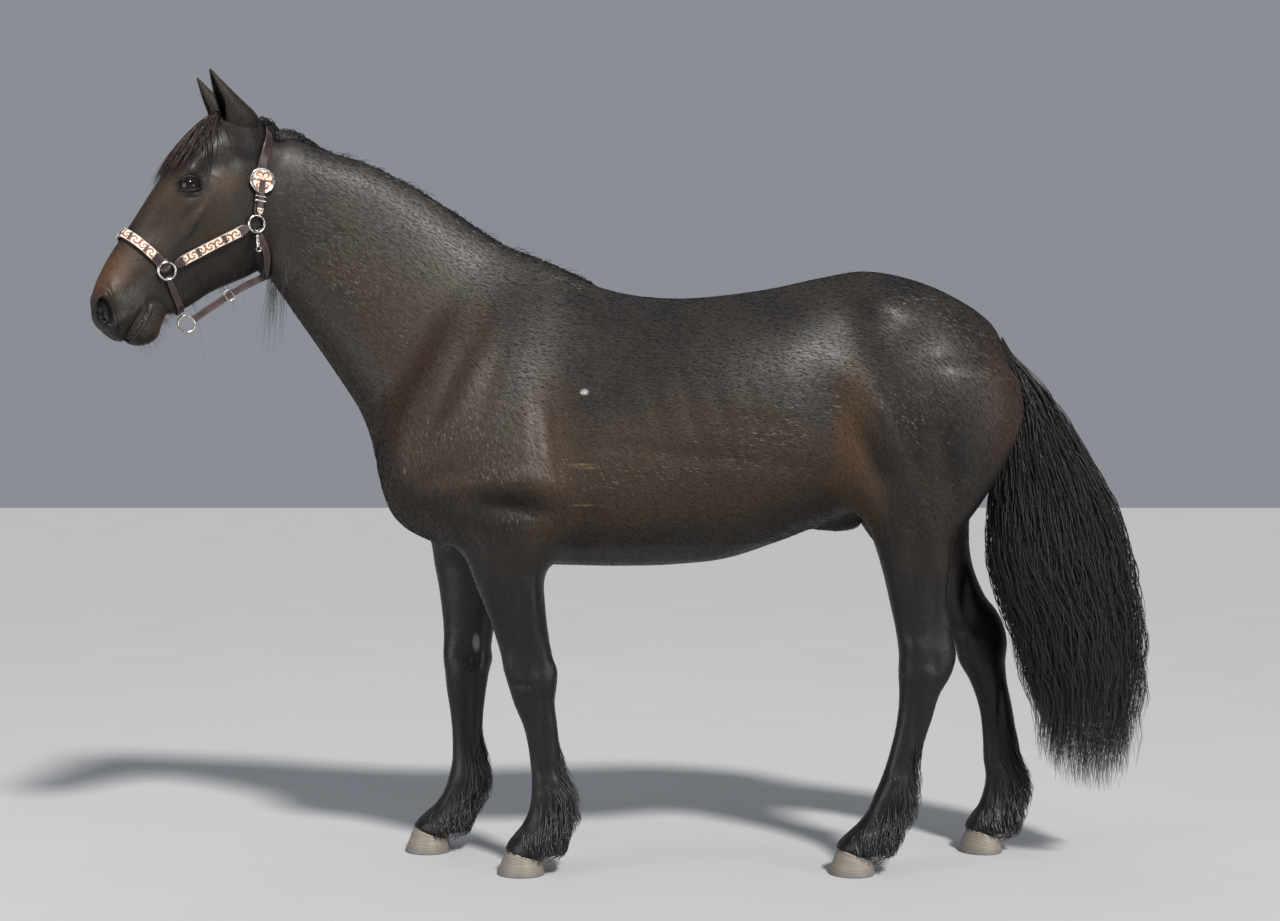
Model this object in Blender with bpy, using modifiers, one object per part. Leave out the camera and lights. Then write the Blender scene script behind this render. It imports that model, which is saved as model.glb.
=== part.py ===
"""A life-size standing horse in its show halter, as a museum model.

Metres, +Z up. The horse faces -X, its left side is at -Y, and its hooves stand on z = 0.
The body is one smooth form, worked out from stations along the trunk, neck, head and limbs,
and is then parted into its named pieces with thin cuts.
"""

import math

import bmesh
import bpy
import numpy as np
from mathutils import Matrix, Vector
from mathutils.bvhtree import BVHTree

GAP = 0.0003  # between pieces that touch
FAR = 1.0  # a field value that is surely outside the body

# ---------------------------------------------------------------- driving sizes
LIFT = 0.035  # the stations below are measured from the coronets, and the soles are this much lower
AHEAD, ASIDE = 0.171, 0.005  # move the body's frame so that the model's box is centred on the origin
POLL = (-1.118, -0.055, 1.876)  # origin of the head's own frame, in the body's frame
HEAD_PITCH = math.radians(55)  # the face line below the horizontal
HEAD_TURN = math.radians(28)  # towards the horse's left
NECK_ROOT = (-0.45, 0.0, 1.22)
NECK_PITCH = math.radians(38.4)
EYE = (0.268, 0.070, 0.066)  # the eyeball's middle: down the face, towards the forehead, to the side
EYE_RADIUS = 0.026
VOXEL = 0.012
BODY_FACES = 3250
SPARE_HEAD = 0.0003  # how strongly the head is spared when the form is thinned to that many faces


# ---------------------------------------------------------------- the smooth form
def smooth_min(a, b, width):
    """The lower of two fields, with a fillet of about this width where they meet."""
    overlap = np.maximum(width - np.abs(a - b), 0.0) / width
    return np.minimum(a, b) - overlap * overlap * width * 0.25


def smooth_rows(rows, count=160):
    """A few stations, resampled on the smooth curve through them. Column 0 is the place on the axis."""
    rows = np.array(sorted(rows), float)
    place = rows[:, 0]
    slope = np.gradient(rows, place, axis=0)
    fine = np.linspace(place[0], place[-1], count)
    i = np.clip(np.searchsorted(place, fine) - 1, 0, len(place) - 2)
    step = (place[i + 1] - place[i])[:, None]
    t = ((fine - place[i]) / step[:, 0])[:, None]
    start = rows[i] * (1 + 2 * t) * (1 - t) ** 2 + slope[i] * step * t * (1 - t) ** 2
    end = rows[i + 1] * t * t * (3 - 2 * t) + slope[i + 1] * step * t * t * (t - 1)
    return fine, (start + end).T


class Loft:
    """A body with a straight axis and changing oval sections.

    Each station is: place along the axis, the section's two ends across it, its half-width, its sideways
    centre, and how much wider (+) or narrower (-) it is at its first end than at its second.
    """

    def __init__(self, origin, along, across, rows, power=2.2, caps=(0.02, 0.02)):
        self.origin = np.array(origin, float)
        along, across = np.array(along, float), np.array(across, float)
        self.axes = np.array([along, across, np.cross(along, across)])
        self.place, columns = smooth_rows(rows)
        _, self.high, self.low, self.half, self.side, self.skew = columns
        self.power = power
        self.caps = caps
        low, high = self.ring(self.place[0]), self.ring(self.place[0])
        for s in self.place:
            ring = self.ring(s)
            low = np.minimum(low, ring.min(axis=0))
            high = np.maximum(high, ring.max(axis=0))
        self.box = low.min(axis=0) - 0.1, high.max(axis=0) + 0.1

    def section(self, s):
        at = np.clip(s, self.place[0], self.place[-1])
        high, low, half, side, skew = (
            np.interp(at, self.place, column)
            for column in (self.high, self.low, self.half, self.side, self.skew)
        )
        shrink = np.ones_like(at)
        for length, inner in zip(self.caps, (at - self.place[0], self.place[-1] - at)):
            shrink = shrink * np.sqrt(np.maximum(1 - np.clip(1 - inner / length, 0, 1) ** 2, 0.01))
        return at, (high + low) / 2, (high - low) / 2 * shrink, half * shrink, side, skew

    def ring(self, s, count=16):
        """Points round the section at s, in world coordinates."""
        _, middle, reach, half, side, skew = self.section(np.array(s))
        turn = np.arange(count) * 2 * np.pi / count
        power = 2 / self.power
        t = np.sign(np.cos(turn)) * np.abs(np.cos(turn)) ** power
        w = np.sign(np.sin(turn)) * np.abs(np.sin(turn)) ** power * (1 + skew * t)
        local = np.stack([np.full(count, float(s)), middle + reach * t, side + half * w], axis=1)
        return self.origin + local @ self.axes

    def __call__(self, p):
        s, a, b = ((p - self.origin) @ self.axes.T).T
        at, middle, reach, half, side, skew = self.section(s)
        across, sideways = a - middle, b - side
        t = across / reach
        width = half * np.maximum(1 + skew * np.clip(t, -1, 1), 0.15)
        size = (np.abs(t) ** self.power + np.abs(sideways / width) ** self.power) ** (1 / self.power)
        away = np.hypot(across, sideways)
        inside = np.maximum(away - away / np.maximum(size, 1e-3), -np.minimum(reach, half))
        beyond = np.abs(s - at)
        return np.where(beyond > 0, np.hypot(np.maximum(inside, 0), beyond), inside)


def unit_frame(pitch, turn):
    """Axes of the head: down the face, towards the forehead, and to the horse's left."""
    cp, sp, ct, st = math.cos(pitch), math.sin(pitch), math.cos(turn), math.sin(turn)
    return np.array([(-cp * ct, -cp * st, -sp), (-sp * ct, -sp * st, cp), (st, -ct, 0.0)])


HEAD = unit_frame(HEAD_PITCH, HEAD_TURN)
NECK = np.array(
    [
        (-math.cos(NECK_PITCH), 0.0, math.sin(NECK_PITCH)),
        (math.sin(NECK_PITCH), 0.0, math.cos(NECK_PITCH)),
    ]
)
UP, BACKWARD = (0, 0, 1), (1, 0, 0)

# Trunk, from the breast to the buttocks: x, top, bottom, half-width, -, skew
TRUNK = Loft(
    (0, 0, 0), BACKWARD, UP,
    [
        (-0.830, 1.10, 0.93, 0.110, 0, -0.10),
        (-0.77, 1.22, 0.850, 0.178, 0, -0.12),
        (-0.68, 1.34, 0.796, 0.212, 0, -0.20),
        (-0.55, 1.44, 0.760, 0.226, 0, -0.40),
        (-0.42, 1.500, 0.742, 0.236, 0, -0.50),
        (-0.32, 1.484, 0.738, 0.248, 0, -0.50),
        (-0.20, 1.450, 0.736, 0.264, 0, -0.32),
        (-0.06, 1.435, 0.740, 0.280, 0, -0.16),
        (0.08, 1.444, 0.757, 0.288, 0, -0.10),
        (0.20, 1.462, 0.796, 0.282, 0, -0.10),
        (0.32, 1.488, 0.842, 0.268, 0, -0.12),
        (0.43, 1.505, 0.880, 0.264, 0, -0.16),
        (0.54, 1.488, 0.910, 0.262, 0, -0.16),
        (0.66, 1.440, 0.950, 0.245, 0, -0.16),
        (0.75, 1.380, 1.010, 0.205, 0, -0.18),
        (0.82, 1.300, 1.080, 0.130, 0, -0.15),
    ],
    power=2.15, caps=(0.05, 0.07),
)  # fmt: skip

# Neck, from inside the chest to the poll: place, crest, throat side, half-width, side, skew
NECK_LOFT = Loft(
    NECK_ROOT, NECK[0], NECK[1],
    [
        (-0.10, 0.140, -0.220, 0.100, 0.000, -0.50),
        (0.06, 0.235, -0.360, 0.135, 0.000, -0.50),
        (0.20, 0.248, -0.372, 0.138, 0.000, -0.48),
        (0.30, 0.238, -0.325, 0.124, 0.000, -0.42),
        (0.42, 0.228, -0.284, 0.108, -0.004, -0.38),
        (0.54, 0.216, -0.247, 0.098, -0.012, -0.34),
        (0.66, 0.190, -0.210, 0.090, -0.026, -0.28),
        (0.78, 0.144, -0.172, 0.080, -0.042, -0.22),
        (0.90, 0.106, -0.120, 0.066, -0.055, -0.15),
    ],
    power=2.2, caps=(0.04, 0.06),
)  # fmt: skip

# Skull and nose: place down the face, forehead side, throat side, half-width
SKULL = Loft(
    POLL, HEAD[0], HEAD[1],
    [
        (0.005, 0.062, -0.030, 0.048, 0, 0.0),
        (0.050, 0.104, -0.070, 0.066, 0, 0.0),
        (0.100, 0.120, -0.090, 0.076, 0, 0.05),
        (0.170, 0.130, -0.095, 0.083, 0, 0.10),
        (0.250, 0.132, -0.090, 0.086, 0, 0.12),
        (0.330, 0.129, -0.080, 0.074, 0, 0.00),
        (0.410, 0.124, -0.070, 0.061, 0, -0.12),
        (0.490, 0.121, -0.055, 0.053, 0, -0.16),
        (0.550, 0.115, -0.034, 0.051, 0, -0.12),
        (0.600, 0.104, -0.029, 0.054, 0, -0.05),
        (0.645, 0.083, -0.030, 0.054, 0, -0.05),
        (0.670, 0.057, -0.030, 0.047, 0, 0.0),
        (0.684, 0.028, -0.026, 0.036, 0, 0.0),
    ],
    power=2.5, caps=(0.05, 0.012),
)  # fmt: skip

JAW = Loft(
    POLL, HEAD[0], HEAD[1],
    [
        (0.100, 0.020, -0.090, 0.050, 0, 0.0),
        (0.160, 0.030, -0.130, 0.069, 0, 0.10),
        (0.220, 0.030, -0.160, 0.077, 0, 0.16),
        (0.280, 0.030, -0.188, 0.076, 0, 0.20),
        (0.335, 0.030, -0.194, 0.068, 0, 0.22),
        (0.380, 0.030, -0.170, 0.060, 0, 0.22),
        (0.435, 0.020, -0.139, 0.050, 0, 0.20),
        (0.495, 0.010, -0.116, 0.040, 0, 0.15),
        (0.560, 0.000, -0.086, 0.034, 0, 0.10),
    ],
    power=2.4, caps=(0.05, 0.03),
)  # fmt: skip

CHIN = Loft(
    POLL, HEAD[0], HEAD[1],
    [
        (0.545, -0.022, -0.078, 0.030, 0, 0.1),
        (0.585, -0.022, -0.086, 0.037, 0, 0.1),
        (0.615, -0.024, -0.094, 0.040, 0, 0.1),
        (0.640, -0.026, -0.086, 0.037, 0, 0.1),
        (0.668, -0.030, -0.060, 0.029, 0, 0.1),
    ],
    power=2.4, caps=(0.02, 0.012),
)  # fmt: skip

SHEATH = Loft(
    (0, 0, 0), BACKWARD, UP,
    [(0.29, 0.93, 0.845, 0.030, 0, 0), (0.36, 0.95, 0.826, 0.042, 0, 0), (0.44, 0.96, 0.838, 0.036, 0, 0)],
    caps=(0.03, 0.03),
)  # fmt: skip

# Limbs: z, back edge, front edge. The left and right limbs of a pair stand differently.
FORE_LEFT = [
    (0.98, -0.41, -0.66), (0.86, -0.395, -0.625), (0.76, -0.392, -0.590), (0.66, -0.388, -0.551),
    (0.56, -0.377, -0.514), (0.50, -0.366, -0.497), (0.455, -0.358, -0.487), (0.40, -0.363, -0.471),
    (0.335, -0.356, -0.445), (0.25, -0.346, -0.429), (0.20, -0.334, -0.425), (0.165, -0.324, -0.426),
    (0.12, -0.335, -0.434), (0.085, -0.340, -0.452), (0.045, -0.335, -0.484), (0.008, -0.338, -0.500),
]  # fmt: skip
FORE_RIGHT = [
    (0.98, -0.47, -0.70), (0.86, -0.475, -0.705), (0.76, -0.490, -0.706), (0.66, -0.515, -0.690),
    (0.56, -0.540, -0.679), (0.50, -0.549, -0.677), (0.455, -0.552, -0.675), (0.40, -0.560, -0.670),
    (0.335, -0.568, -0.660), (0.25, -0.570, -0.654), (0.20, -0.565, -0.656), (0.165, -0.568, -0.664),
    (0.12, -0.590, -0.680), (0.085, -0.600, -0.706), (0.045, -0.605, -0.750), (0.008, -0.606, -0.768),
]  # fmt: skip
HIND_LEFT = [
    (1.27, 0.79, 0.44), (1.12, 0.812, 0.40), (1.02, 0.776, 0.39), (0.92, 0.722, 0.40),
    (0.82, 0.652, 0.436), (0.73, 0.638, 0.463), (0.65, 0.632, 0.482), (0.58, 0.640, 0.497),
    (0.52, 0.653, 0.505), (0.47, 0.640, 0.504), (0.42, 0.612, 0.506), (0.35, 0.590, 0.500),
    (0.27, 0.562, 0.482), (0.21, 0.546, 0.463), (0.165, 0.540, 0.444), (0.12, 0.520, 0.424),
    (0.085, 0.505, 0.396), (0.045, 0.500, 0.354), (0.008, 0.496, 0.338),
]  # fmt: skip
HIND_RIGHT = [
    (1.27, 0.79, 0.44), (1.12, 0.805, 0.40), (1.02, 0.780, 0.39), (0.92, 0.748, 0.41),
    (0.82, 0.738, 0.462), (0.73, 0.748, 0.530), (0.65, 0.780, 0.590), (0.58, 0.826, 0.652),
    (0.53, 0.839, 0.690), (0.47, 0.834, 0.708), (0.42, 0.838, 0.736), (0.35, 0.852, 0.760),
    (0.27, 0.864, 0.770), (0.21, 0.870, 0.772), (0.165, 0.880, 0.778), (0.12, 0.868, 0.770),
    (0.085, 0.860, 0.756), (0.045, 0.862, 0.728), (0.008, 0.864, 0.714),
]  # fmt: skip
# Their widths, which each pair shares: z, half-width, distance from the middle, skew
FORE_SIDE = [
    (0.98, 0.070, 0.165, 0.0), (0.86, 0.072, 0.163, 0.0), (0.76, 0.070, 0.160, 0.0), (0.66, 0.060, 0.155, 0.0),
    (0.56, 0.047, 0.150, 0.0), (0.50, 0.043, 0.147, 0.0), (0.455, 0.047, 0.145, 0.0), (0.40, 0.040, 0.144, -0.1),
    (0.335, 0.031, 0.143, -0.1), (0.25, 0.029, 0.142, -0.1), (0.20, 0.034, 0.141, 0.0), (0.165, 0.040, 0.141, 0.0),
    (0.12, 0.036, 0.140, 0.0), (0.085, 0.042, 0.140, 0.0), (0.045, 0.056, 0.140, 0.0), (0.008, 0.061, 0.140, 0.0),
]  # fmt: skip
HIND_SIDE = [
    (1.27, 0.080, 0.150, 0.0), (1.12, 0.104, 0.156, 0.0), (1.02, 0.108, 0.160, 0.0), (0.92, 0.096, 0.160, 0.0),
    (0.82, 0.078, 0.158, 0.0), (0.73, 0.064, 0.154, 0.0), (0.65, 0.052, 0.150, -0.1), (0.58, 0.042, 0.147, -0.2),
    (0.52, 0.044, 0.145, -0.2), (0.47, 0.046, 0.144, -0.1), (0.42, 0.038, 0.143, 0.0), (0.35, 0.031, 0.142, 0.0),
    (0.27, 0.029, 0.141, 0.0), (0.21, 0.033, 0.140, 0.0), (0.165, 0.040, 0.140, 0.0), (0.12, 0.036, 0.139, 0.0),
    (0.085, 0.042, 0.138, 0.0), (0.045, 0.055, 0.138, 0.0), (0.008, 0.060, 0.138, 0.0),
]  # fmt: skip
# The long hair behind each fetlock: z, back edge and front edge from the limb's middle, half-width
FEATHER = [
    (0.33, 0.044, -0.020, 0.018), (0.28, 0.048, -0.020, 0.024), (0.23, 0.056, -0.020, 0.030),
    (0.18, 0.072, -0.020, 0.042), (0.12, 0.090, -0.040, 0.060), (0.06, 0.088, -0.060, 0.072),
    (-0.012, 0.068, -0.055, 0.070),
]  # fmt: skip


def limb_loft(edges, sides, side):
    """One limb's loft; side is -1 for the left and +1 for the right."""
    rows = [
        (z, back, front, half, side * out, skew)
        for (z, back, front), (_, half, out, skew) in zip(edges, sides)
    ]
    return Loft((0, 0, 0), UP, BACKWARD, rows, power=2.2, caps=(0.01, 0.06))


def feather_loft(edges, sides, side):
    """The fetlock's hair as one mass."""
    z = [row[0] for row in reversed(edges)]
    middle = [(row[1] + row[2]) / 2 for row in reversed(edges)]
    out = [row[2] for row in reversed(sides)]
    rows = []
    for place, back, front, half in FEATHER:
        x = np.interp(place, z, middle)
        rows.append((place, x + back, x + front, half, side * np.interp(place, z, out), 0.15))
    return Loft((0, 0, 0), UP, BACKWARD, rows, power=2.0, caps=(0.02, 0.06))


LIMBS = {
    "foreleg_left": (FORE_LEFT, FORE_SIDE, -1),
    "foreleg_right": (FORE_RIGHT, FORE_SIDE, 1),
    "hindleg_left": (HIND_LEFT, HIND_SIDE, -1),
    "hindleg_right": (HIND_RIGHT, HIND_SIDE, 1),
}
LIMB_LOFTS = [limb_loft(*limb) for limb in LIMBS.values()]
FEATHER_LOFTS = [feather_loft(*limb) for limb in LIMBS.values()]

# Muscle and bone under the skin, on both sides: x, y, z, its three radii, tilt in the side view in degrees,
# and its height. Hollows have a negative height.
BODY_RELIEF = [
    (-0.60, 0.18, 1.12, 0.10, 0.12, 0.26, -28, 0.028),  # shoulder blade
    (-0.72, 0.19, 1.00, 0.09, 0.09, 0.10, 0, 0.020),  # point of the shoulder
    (-0.50, 0.22, 0.98, 0.12, 0.10, 0.11, 0, 0.022),  # triceps
    (-0.42, 0.20, 0.80, 0.05, 0.08, 0.05, 0, 0.010),  # elbow
    (-0.76, 0.10, 0.92, 0.07, 0.07, 0.08, 0, 0.008),  # breast muscle
    (-0.86, 0.00, 0.98, 0.10, 0.035, 0.14, 0, -0.016),  # furrow between them
    (-0.74, 0.14, 1.22, 0.05, 0.12, 0.20, -28, -0.012),  # furrow before the shoulder blade
    (-0.33, 0.24, 1.00, 0.05, 0.12, 0.22, 8, -0.012),  # behind the triceps
    (0.38, 0.25, 1.32, 0.07, 0.10, 0.10, 20, -0.020),  # hollow of the flank
    (0.34, 0.26, 1.10, 0.05, 0.12, 0.16, 20, -0.012),
    (0.46, 0.20, 1.41, 0.06, 0.08, 0.05, 0, 0.014),  # point of the hip
    (0.62, 0.22, 1.22, 0.14, 0.12, 0.20, 20, 0.020),  # haunch
    (0.75, 0.12, 1.17, 0.08, 0.10, 0.12, 0, 0.012),  # buttock
    (0.84, 0.00, 1.12, 0.12, 0.03, 0.24, 0, -0.030),  # cleft between the buttocks
    (0.46, 0.20, 0.92, 0.06, 0.08, 0.07, 0, 0.012),  # stifle
]


def head_place(s, a, b):
    """World place of a point in the head's own frame; b is positive to the horse's left."""
    return np.array(POLL) + s * HEAD[0] + a * HEAD[1] + b * HEAD[2]


# The same for the head, in its own frame: down the face, towards the forehead, to the side, radii, height
HEAD_RELIEF = [
    (0.238, 0.094, 0.085, 0.040, 0.020, 0.03, 0.014),  # brow over the eye
    (0.268, 0.070, 0.085, 0.022, 0.022, 0.03, -0.006),  # the eye's own hollow
    (0.310, 0.046, 0.085, 0.035, 0.022, 0.03, 0.007),  # cheekbone under the eye
    (0.355, 0.010, 0.070, 0.055, 0.010, 0.03, 0.007),  # facial crest
    (0.200, 0.058, 0.080, 0.028, 0.022, 0.03, -0.009),  # hollow above the eye
    (0.400, 0.070, 0.050, 0.055, 0.020, 0.03, -0.007),  # hollow beside the nose
    (0.450, -0.040, 0.050, 0.050, 0.025, 0.03, -0.006),  # hollow of the cheek
    (0.270, -0.100, 0.070, 0.070, 0.050, 0.04, 0.008),  # masseter
    (0.622, 0.080, 0.056, 0.028, 0.020, 0.03, 0.010),  # wing of the nostril
    (0.668, 0.040, 0.050, 0.014, 0.028, 0.03, 0.006),
    (0.644, 0.056, 0.062, 0.013, 0.024, 0.03, -0.020),  # nostril
]


def relief(p, bumps):
    """How far the bumps and hollows raise the surface at each point."""
    total = np.zeros(len(p))
    for *centre, rx, ry, rz, tilt, height in bumps:
        d = p - np.array(centre)
        if tilt:
            c, s = math.cos(math.radians(tilt)), math.sin(math.radians(tilt))
            first, last = d[:, 0] * c + d[:, 2] * s, d[:, 2] * c - d[:, 0] * s
            d = np.stack([first, d[:, 1], last], axis=1)
        total += height * np.exp(-((d / (rx, ry, rz)) ** 2).sum(axis=1))
    return total


def near(loft, p):
    """The loft's field, worked out only at the points close enough to feel it."""
    out = np.full(len(p), FAR)
    inside = ((p > loft.box[0]) & (p < loft.box[1])).all(axis=1)
    if inside.any():
        out[inside] = loft(p[inside])
    return out


def body(p):
    """The horse's form at n points: below zero inside it, and above zero outside."""
    field = smooth_min(near(TRUNK, p), near(NECK_LOFT, p), 0.12)
    field = smooth_min(field, near(SHEATH, p), 0.04)
    for loft in LIMB_LOFTS:
        field = smooth_min(field, near(loft, p), 0.08)
    mirrored = np.stack([p[:, 0], np.abs(p[:, 1]), p[:, 2]], axis=1)
    field = field - relief(mirrored, BODY_RELIEF)

    local = (p - np.array(POLL)) @ HEAD.T
    local[:, 2] = np.abs(local[:, 2])
    head = smooth_min(near(SKULL, p), near(JAW, p), 0.04)
    head = smooth_min(head, near(CHIN, p), 0.005)
    head = head - relief(local, [(*row[:6], 0, row[6]) for row in HEAD_RELIEF])
    field = smooth_min(field, head, 0.05)
    for loft in FEATHER_LOFTS:
        field = smooth_min(field, near(loft, p), 0.015)
    return field


def onto_form(points, field, rounds=4):
    """Points moved straight to the surface where the field is zero."""
    corners = np.array([(1, 1, 1), (1, -1, -1), (-1, 1, -1), (-1, -1, 1)], float)
    reach = 0.0008
    for _ in range(rounds):
        values = [field(points + corner * reach) for corner in corners]
        slope = sum(v[:, None] * corner for v, corner in zip(values, corners)) / (4 * reach)
        middle = sum(values) / 4
        steep = np.maximum((slope**2).sum(axis=1), 0.25)
        points = points - (middle / steep)[:, None] * slope
    return points


# ---------------------------------------------------------------- scene helpers
def clear_scene():
    for obj in list(bpy.data.objects):
        bpy.data.objects.remove(obj, do_unlink=True)
    for block in (bpy.data.meshes, bpy.data.curves, bpy.data.materials, bpy.data.collections):
        for item in list(block):
            block.remove(item)


clear_scene()
PARTS = bpy.data.collections.new("standing_horse")
CUTTERS = bpy.data.collections.new("cutters")
for collection in (PARTS, CUTTERS):
    bpy.context.scene.collection.children.link(collection)


def material(name, colour, roughness, metallic=0.0):
    mat = bpy.data.materials.new(name)
    mat.use_nodes = True
    shader = mat.node_tree.nodes["Principled BSDF"]
    shader.inputs["Base Color"].default_value = (*colour, 1.0)
    shader.inputs["Roughness"].default_value = roughness
    shader.inputs["Metallic"].default_value = metallic
    mat.diffuse_color = (*colour, 1.0)
    return mat


COAT = material("coat", (0.022, 0.015, 0.011), 0.5)
LEG_COAT = material("leg_coat", (0.010, 0.008, 0.007), 0.5)
HAIR = material("long_hair", (0.008, 0.007, 0.007), 0.4)
HORN = material("hoof_horn", (0.30, 0.24, 0.17), 0.6)
EYEBALL = material("eyeball", (0.012, 0.008, 0.006), 0.05)
LEATHER = material("halter_leather", (0.060, 0.022, 0.016), 0.45)
SILVER = material("halter_metal", (0.60, 0.56, 0.50), 0.28, 1.0)


def new_object(name, mesh, mat=None, collection=PARTS):
    obj = bpy.data.objects.new(name, mesh)
    collection.objects.link(obj)
    if mat:
        mesh.materials.clear()
        mesh.materials.append(mat)
    if collection == CUTTERS:
        obj.hide_render = True
        obj.display_type = "WIRE"
    return obj


def mesh_from(bm, name):
    bmesh.ops.recalc_face_normals(bm, faces=bm.faces)
    mesh = bpy.data.meshes.new(name)
    bm.to_mesh(mesh)
    bm.free()
    mesh.shade_smooth()
    return mesh


def evaluated(obj):
    """The object's mesh with its modifiers applied, in world coordinates."""
    bpy.context.view_layer.update()
    graph = bpy.context.evaluated_depsgraph_get()
    mesh = bpy.data.meshes.new_from_object(obj.evaluated_get(graph))
    mesh.transform(obj.matrix_world)
    return mesh


def loft_rings(bm, rings):
    """Skin a row of rings that have the same number of points, and close its two ends."""
    verts = [[bm.verts.new(point) for point in ring] for ring in rings]
    for first, second in zip(verts, verts[1:]):
        for i in range(len(first)):
            j = (i + 1) % len(first)
            bm.faces.new((first[i], first[j], second[j], second[i]))
    bm.faces.new(verts[0])
    bm.faces.new(reversed(verts[-1]))


def add_modifier(obj, kind, **settings):
    modifier = obj.modifiers.new(kind.title(), kind)
    for key, value in settings.items():
        setattr(modifier, key, value)
    return modifier


def applied(obj, name, mat):
    """Replace a working object with its evaluated mesh."""
    mesh = evaluated(obj)
    bpy.data.objects.remove(obj, do_unlink=True)
    return new_object(name, mesh, mat)


# ---------------------------------------------------------------- the whole body
def whole_body():
    bm = bmesh.new()
    for loft in [TRUNK, NECK_LOFT, SHEATH, SKULL, JAW, CHIN] + LIMB_LOFTS + FEATHER_LOFTS:
        count = max(6, int((loft.place[-1] - loft.place[0]) / 0.03))
        places = np.linspace(loft.place[0], loft.place[-1], count)
        loft_rings(bm, [loft.ring(s) for s in places])
    obj = new_object("whole", mesh_from(bm, "whole"), COAT, CUTTERS)
    add_modifier(obj, "REMESH", mode="VOXEL", voxel_size=VOXEL)
    add_modifier(obj, "SMOOTH", factor=0.5, iterations=3)
    obj = applied(obj, "whole", COAT)
    points = np.empty(len(obj.data.vertices) * 3)
    obj.data.vertices.foreach_get("co", points)
    points = onto_form(points.reshape(-1, 3), body)
    obj.data.vertices.foreach_set("co", points.ravel())
    obj.data.update()
    share = obj.vertex_groups.new(name="spare")
    local = (points - np.array(POLL)) @ HEAD.T
    on_head = np.flatnonzero((local[:, 0] > 0.0) & (local[:, 1] > -0.21) & (points[:, 0] < -1.10))
    share.add([int(i) for i in on_head], 0.9, "REPLACE")
    ratio = BODY_FACES / (2 * len(obj.data.polygons))
    add_modifier(obj, "TRIANGULATE")
    add_modifier(
        obj, "DECIMATE", ratio=ratio, vertex_group="spare", invert_vertex_group=True,
        vertex_group_factor=SPARE_HEAD,
    )  # fmt: skip
    return applied(obj, "whole", COAT)


def half_space(name, point, normal):
    """A big box on the side of a plane that its normal points to; its face lies on the plane."""
    size = 3.0
    turn = Vector(normal).normalized().to_track_quat("Z", "Y").to_matrix().to_4x4()
    place = Matrix.Translation(point) @ turn @ Matrix.Translation((0, 0, size / 2)) @ Matrix.Scale(size, 4)
    bm = bmesh.new()
    bmesh.ops.create_cube(bm, size=1.0, matrix=place)
    return new_object(name, mesh_from(bm, name), None, CUTTERS)


def grown(obj, amount):
    """A cutter that stands out from a piece by this much all over."""
    copy = new_object(obj.name + "_grown", evaluated(obj), None, CUTTERS)
    add_modifier(copy, "DISPLACE", strength=amount, mid_level=0.0)
    return copy


def boolean(obj, other, operation):
    return add_modifier(obj, "BOOLEAN", operation=operation, object=other, solver="EXACT")


def carved(source, name, mat, keep=None, remove=()):
    """A copy of a working object: the part inside one cutter, less the others."""
    obj = new_object(name, evaluated(source), mat)
    if keep:
        boolean(obj, keep, "INTERSECT")
    for cutter in remove:
        boolean(obj, cutter, "DIFFERENCE")
    return applied(obj, name, mat)


def trimmed(obj, cutters):
    """A piece less the cutters, under its own name."""
    name, mat = obj.name, obj.data.materials[0]
    for cutter in cutters:
        boolean(obj, cutter, "DIFFERENCE")
    mesh = evaluated(obj)
    bpy.data.objects.remove(obj, do_unlink=True)
    return new_object(name, mesh, mat)


# ---------------------------------------------------------------- hooves
# Each hoof stands on its own flat sole: x of the toe, x of the heels, y
HOOVES = {
    "hoof_fore_left": (-0.512, -0.372, -0.140),
    "hoof_fore_right": (-0.780, -0.640, 0.140),
    "hoof_hind_left": (0.328, 0.462, -0.138),
    "hoof_hind_right": (0.704, 0.838, 0.138),
}
HOOF_HALF_WIDTH = 0.064
TOE_HEIGHT, HEEL_HEIGHT = 0.068, 0.034


def hoof(name, toe, heel, y):
    """Horn wall: a slanted round cone, open at the heels' side in plan, with a flat sole."""
    bm = bmesh.new()
    rings = []
    for rise in (0.0, 0.35, 0.7, 1.0):
        front = toe + 0.026 * rise
        back = heel - 0.008 * rise
        half = HOOF_HALF_WIDTH - 0.010 * rise
        ring = []
        for i in range(20):
            turn = 2 * math.pi * i / 20
            forward = -math.cos(turn)
            flat_heel = max(forward, -1.0) if forward < 0 else forward * (1 - 0.12 * forward)
            x = (front + back) / 2 + flat_heel * (back - front) / 2
            height = TOE_HEIGHT + (HEEL_HEIGHT - TOE_HEIGHT) * (x - front) / (back - front)
            ring.append((x, y + half * math.sin(turn), -LIFT + height * rise))
        rings.append(ring)
    loft_rings(bm, rings)
    return new_object(name, mesh_from(bm, name), HORN)


# ---------------------------------------------------------------- ears
EAR_LENGTH = 0.172
# Along the ear, from its root to its tip: place, half-width, depth
EAR_PROFILE = [
    (0.0, 0.034, 0.030), (0.14, 0.037, 0.031), (0.30, 0.036, 0.027), (0.48, 0.030, 0.020),
    (0.66, 0.022, 0.014), (0.82, 0.013, 0.008), (0.94, 0.006, 0.004), (1.0, 0.0025, 0.002),
]  # fmt: skip
EAR_WALL = 0.005


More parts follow.
